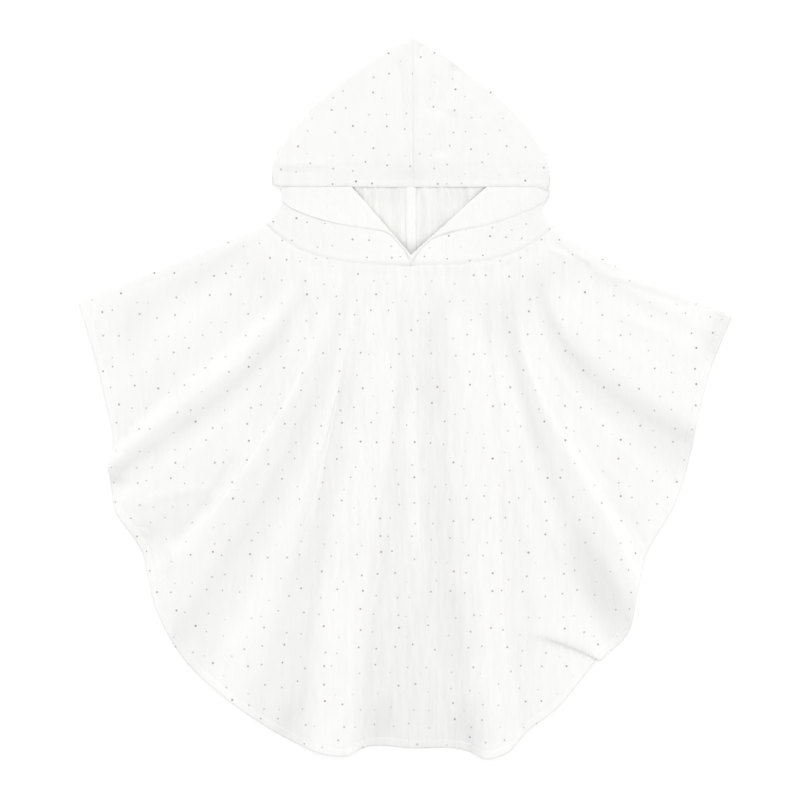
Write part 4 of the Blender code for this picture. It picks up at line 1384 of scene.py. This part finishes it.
def studio():
    """A white floor, a soft white sky, two broad soft lamps beyond the hood, a warm one to the right and a
    cool one to the left, and a camera straight above."""
    floor_mesh = bpy.data.meshes.new("floor")
    signs = ((-1, -1), (1, -1), (1, 1), (-1, 1))
    floor_mesh.from_pydata([(x * FLOOR_REACH, y * FLOOR_REACH, FLOOR_Z) for x, y in signs], [], [range(4)])
    floor_mesh.materials.append(floor_paint())
    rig.stage(placed("floor", floor_mesh))

    world = bpy.data.worlds.new("soft_sky")
    bpy.context.scene.world = world
    world.use_nodes = True
    tree = world.node_tree
    tree.nodes.clear()
    sky = node(tree, "ShaderNodeBackground", Color=SKY_COLOUR, Strength=SKY_STRENGTH).outputs[0]
    white = node(tree, "ShaderNodeBackground", Color=(1, 1, 1, 1), Strength=1.0).outputs[0]
    mix = node(tree, "ShaderNodeMixShader", seen_directly(tree), sky, white)
    node(tree, "ShaderNodeOutputWorld", mix.outputs[0])

    for lamp in LAMPS:
        light = bpy.data.lights.new(lamp.name, "SUN")
        light.angle = np.radians(LAMP_ANGLE)
        light.energy = lamp.strength
        light.color = lamp.colour
        sun = placed(lamp.name, light)
        sun.location = lamp.towards
        sun.rotation_mode = "QUATERNION"
        sun.rotation_quaternion = sun.location.to_track_quat("Z", "Y")

    camera_data = bpy.data.cameras.new("camera")
    camera_data.lens = LENS
    camera_data.sensor_width = SENSOR
    camera_data.clip_end = 20
    camera = placed("camera", camera_data)
    camera.location = (*VIEW_CENTRE, LENS / SENSOR * VIEW_WIDTH)
    bpy.context.scene.camera = camera
    bpy.context.scene.view_settings.view_transform = "Standard"


def seen_directly(tree):
    """1 for rays that the camera, a gloss or a clear surface sends, 0 for the ones that light the scene."""
    path = node(tree, "ShaderNodeLightPath").outputs
    first = maths(tree, "MAXIMUM", path["Is Camera Ray"], path["Is Glossy Ray"])
    return maths(tree, "MAXIMUM", first, path["Is Transmission Ray"])


def floor_paint():
    """Matt white, a little brighter to the camera so that it reads as plain white and keeps the shadow."""
    material = bpy.data.materials.new("floor_paint")
    material.use_nodes = True
    tree = material.node_tree
    tree.nodes.clear()
    matt = node(tree, "ShaderNodeBsdfDiffuse", Color=FLOOR_COLOUR).outputs[0]
    faint = node(tree, "ShaderNodeBsdfDiffuse", Color=FLOOR_SEEN_COLOUR).outputs[0]
    lift = node(tree, "ShaderNodeEmission", Color=(1, 1, 1, 1), Strength=FLOOR_SEEN_LIGHT).outputs[0]
    added = node(tree, "ShaderNodeAddShader", faint, lift).outputs[0]
    mix = node(tree, "ShaderNodeMixShader", seen_directly(tree), matt, added)
    node(tree, "ShaderNodeOutputMaterial", mix.outputs[0])
    return material


def add_piece(piece, slot, *nodes):
    """Says what a piece rides on, its slot, and the nodes it replaces."""
    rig.ride(piece, "root")
    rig.slot(piece, slot)
    if nodes:
        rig.replaces(piece, *nodes)
    return piece


studio()
printed = muslin("printed_gauze", PRINTED_COLOUR, True)
plain = muslin("plain_gauze", PLAIN_COLOUR, False)
tape = woven_tape("cotton_tape", TAPE_COLOUR)
thread = woven_tape("cotton_thread", THREAD_COLOUR)

front_grid, front_flat, front_fields = front_sheet()
front = shell("front", front_grid, front_flat, WALL, True, [printed, plain], **front_fields)
add_piece(front, "muslin_front", "front_panel")
front_stitches = stitches("front_hem_stitches", *hem_line(front_grid), thread)
add_piece(front_stitches, "binding_tape")
back_grid, back_flat = back_sheet()
back = shell("back", back_grid, back_flat, WALL, False, [printed, plain], streaks=BACK_STREAKS)
add_piece(back, "muslin_back", "back_panel")

hood_pieces = []
for hood in HALVES:
    left = hood.side < 0
    hood_grid, hood_flat, hood_wall, hood_fields = hood_sheet(hood)
    piece = shell(hood.name, hood_grid, hood_flat, hood_wall, left, [printed, plain], **hood_fields)
    add_piece(piece, "muslin_front", hood.node)
    hem_stitches = stitches(hood.name + "_stitches", *forehead_line(hood_grid, hood_wall, left), thread)
    hood_pieces.append((piece, add_piece(hem_stitches, "binding_tape")))

tape_grid, tape_flat, tape_fields = binding_sheet()
binding = shell("seam_tape", tape_grid, tape_flat, TAPE_WALL, False, [tape, tape], **tape_fields)
add_piece(binding, "binding_tape", "hood_seam_binding")
tape_face, tape_normals = outer_face(tape_grid, TAPE_WALL, False)
tape_stitches = []
for side, column in BINDING_STITCHED.items():
    line = tape_face[:, column], tape_normals[:, column]
    tape_stitches.append(add_piece(stitches("seam_tape_stitches_" + side, *line, thread), "binding_tape"))

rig.sheet(front, flat=(0.70, 0.56), held="laid", rests_on=["back"], area=0.27, with_pieces=[front_stitches])
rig.sheet(back, flat=(0.70, 0.56), held="laid", rests_on=["floor"], area=0.26)
for piece, hem_stitches in hood_pieces:
    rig.sheet(
        piece, flat=(0.29, 0.24), held="laid", rests_on=["floor"], area=0.056, with_pieces=[hem_stitches]
    )
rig.sheet(
    binding,
    flat=(0.01, 0.36),
    held="laid",
    rests_on=["hood_half_left", "hood_half_right"],
    with_pieces=tape_stitches,
)

with open("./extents.json", "w") as size_file:
    json.dump({"cad": [list(c) for c in FRAME_BOX], "visual": [list(c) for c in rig.bounds()]}, size_file)
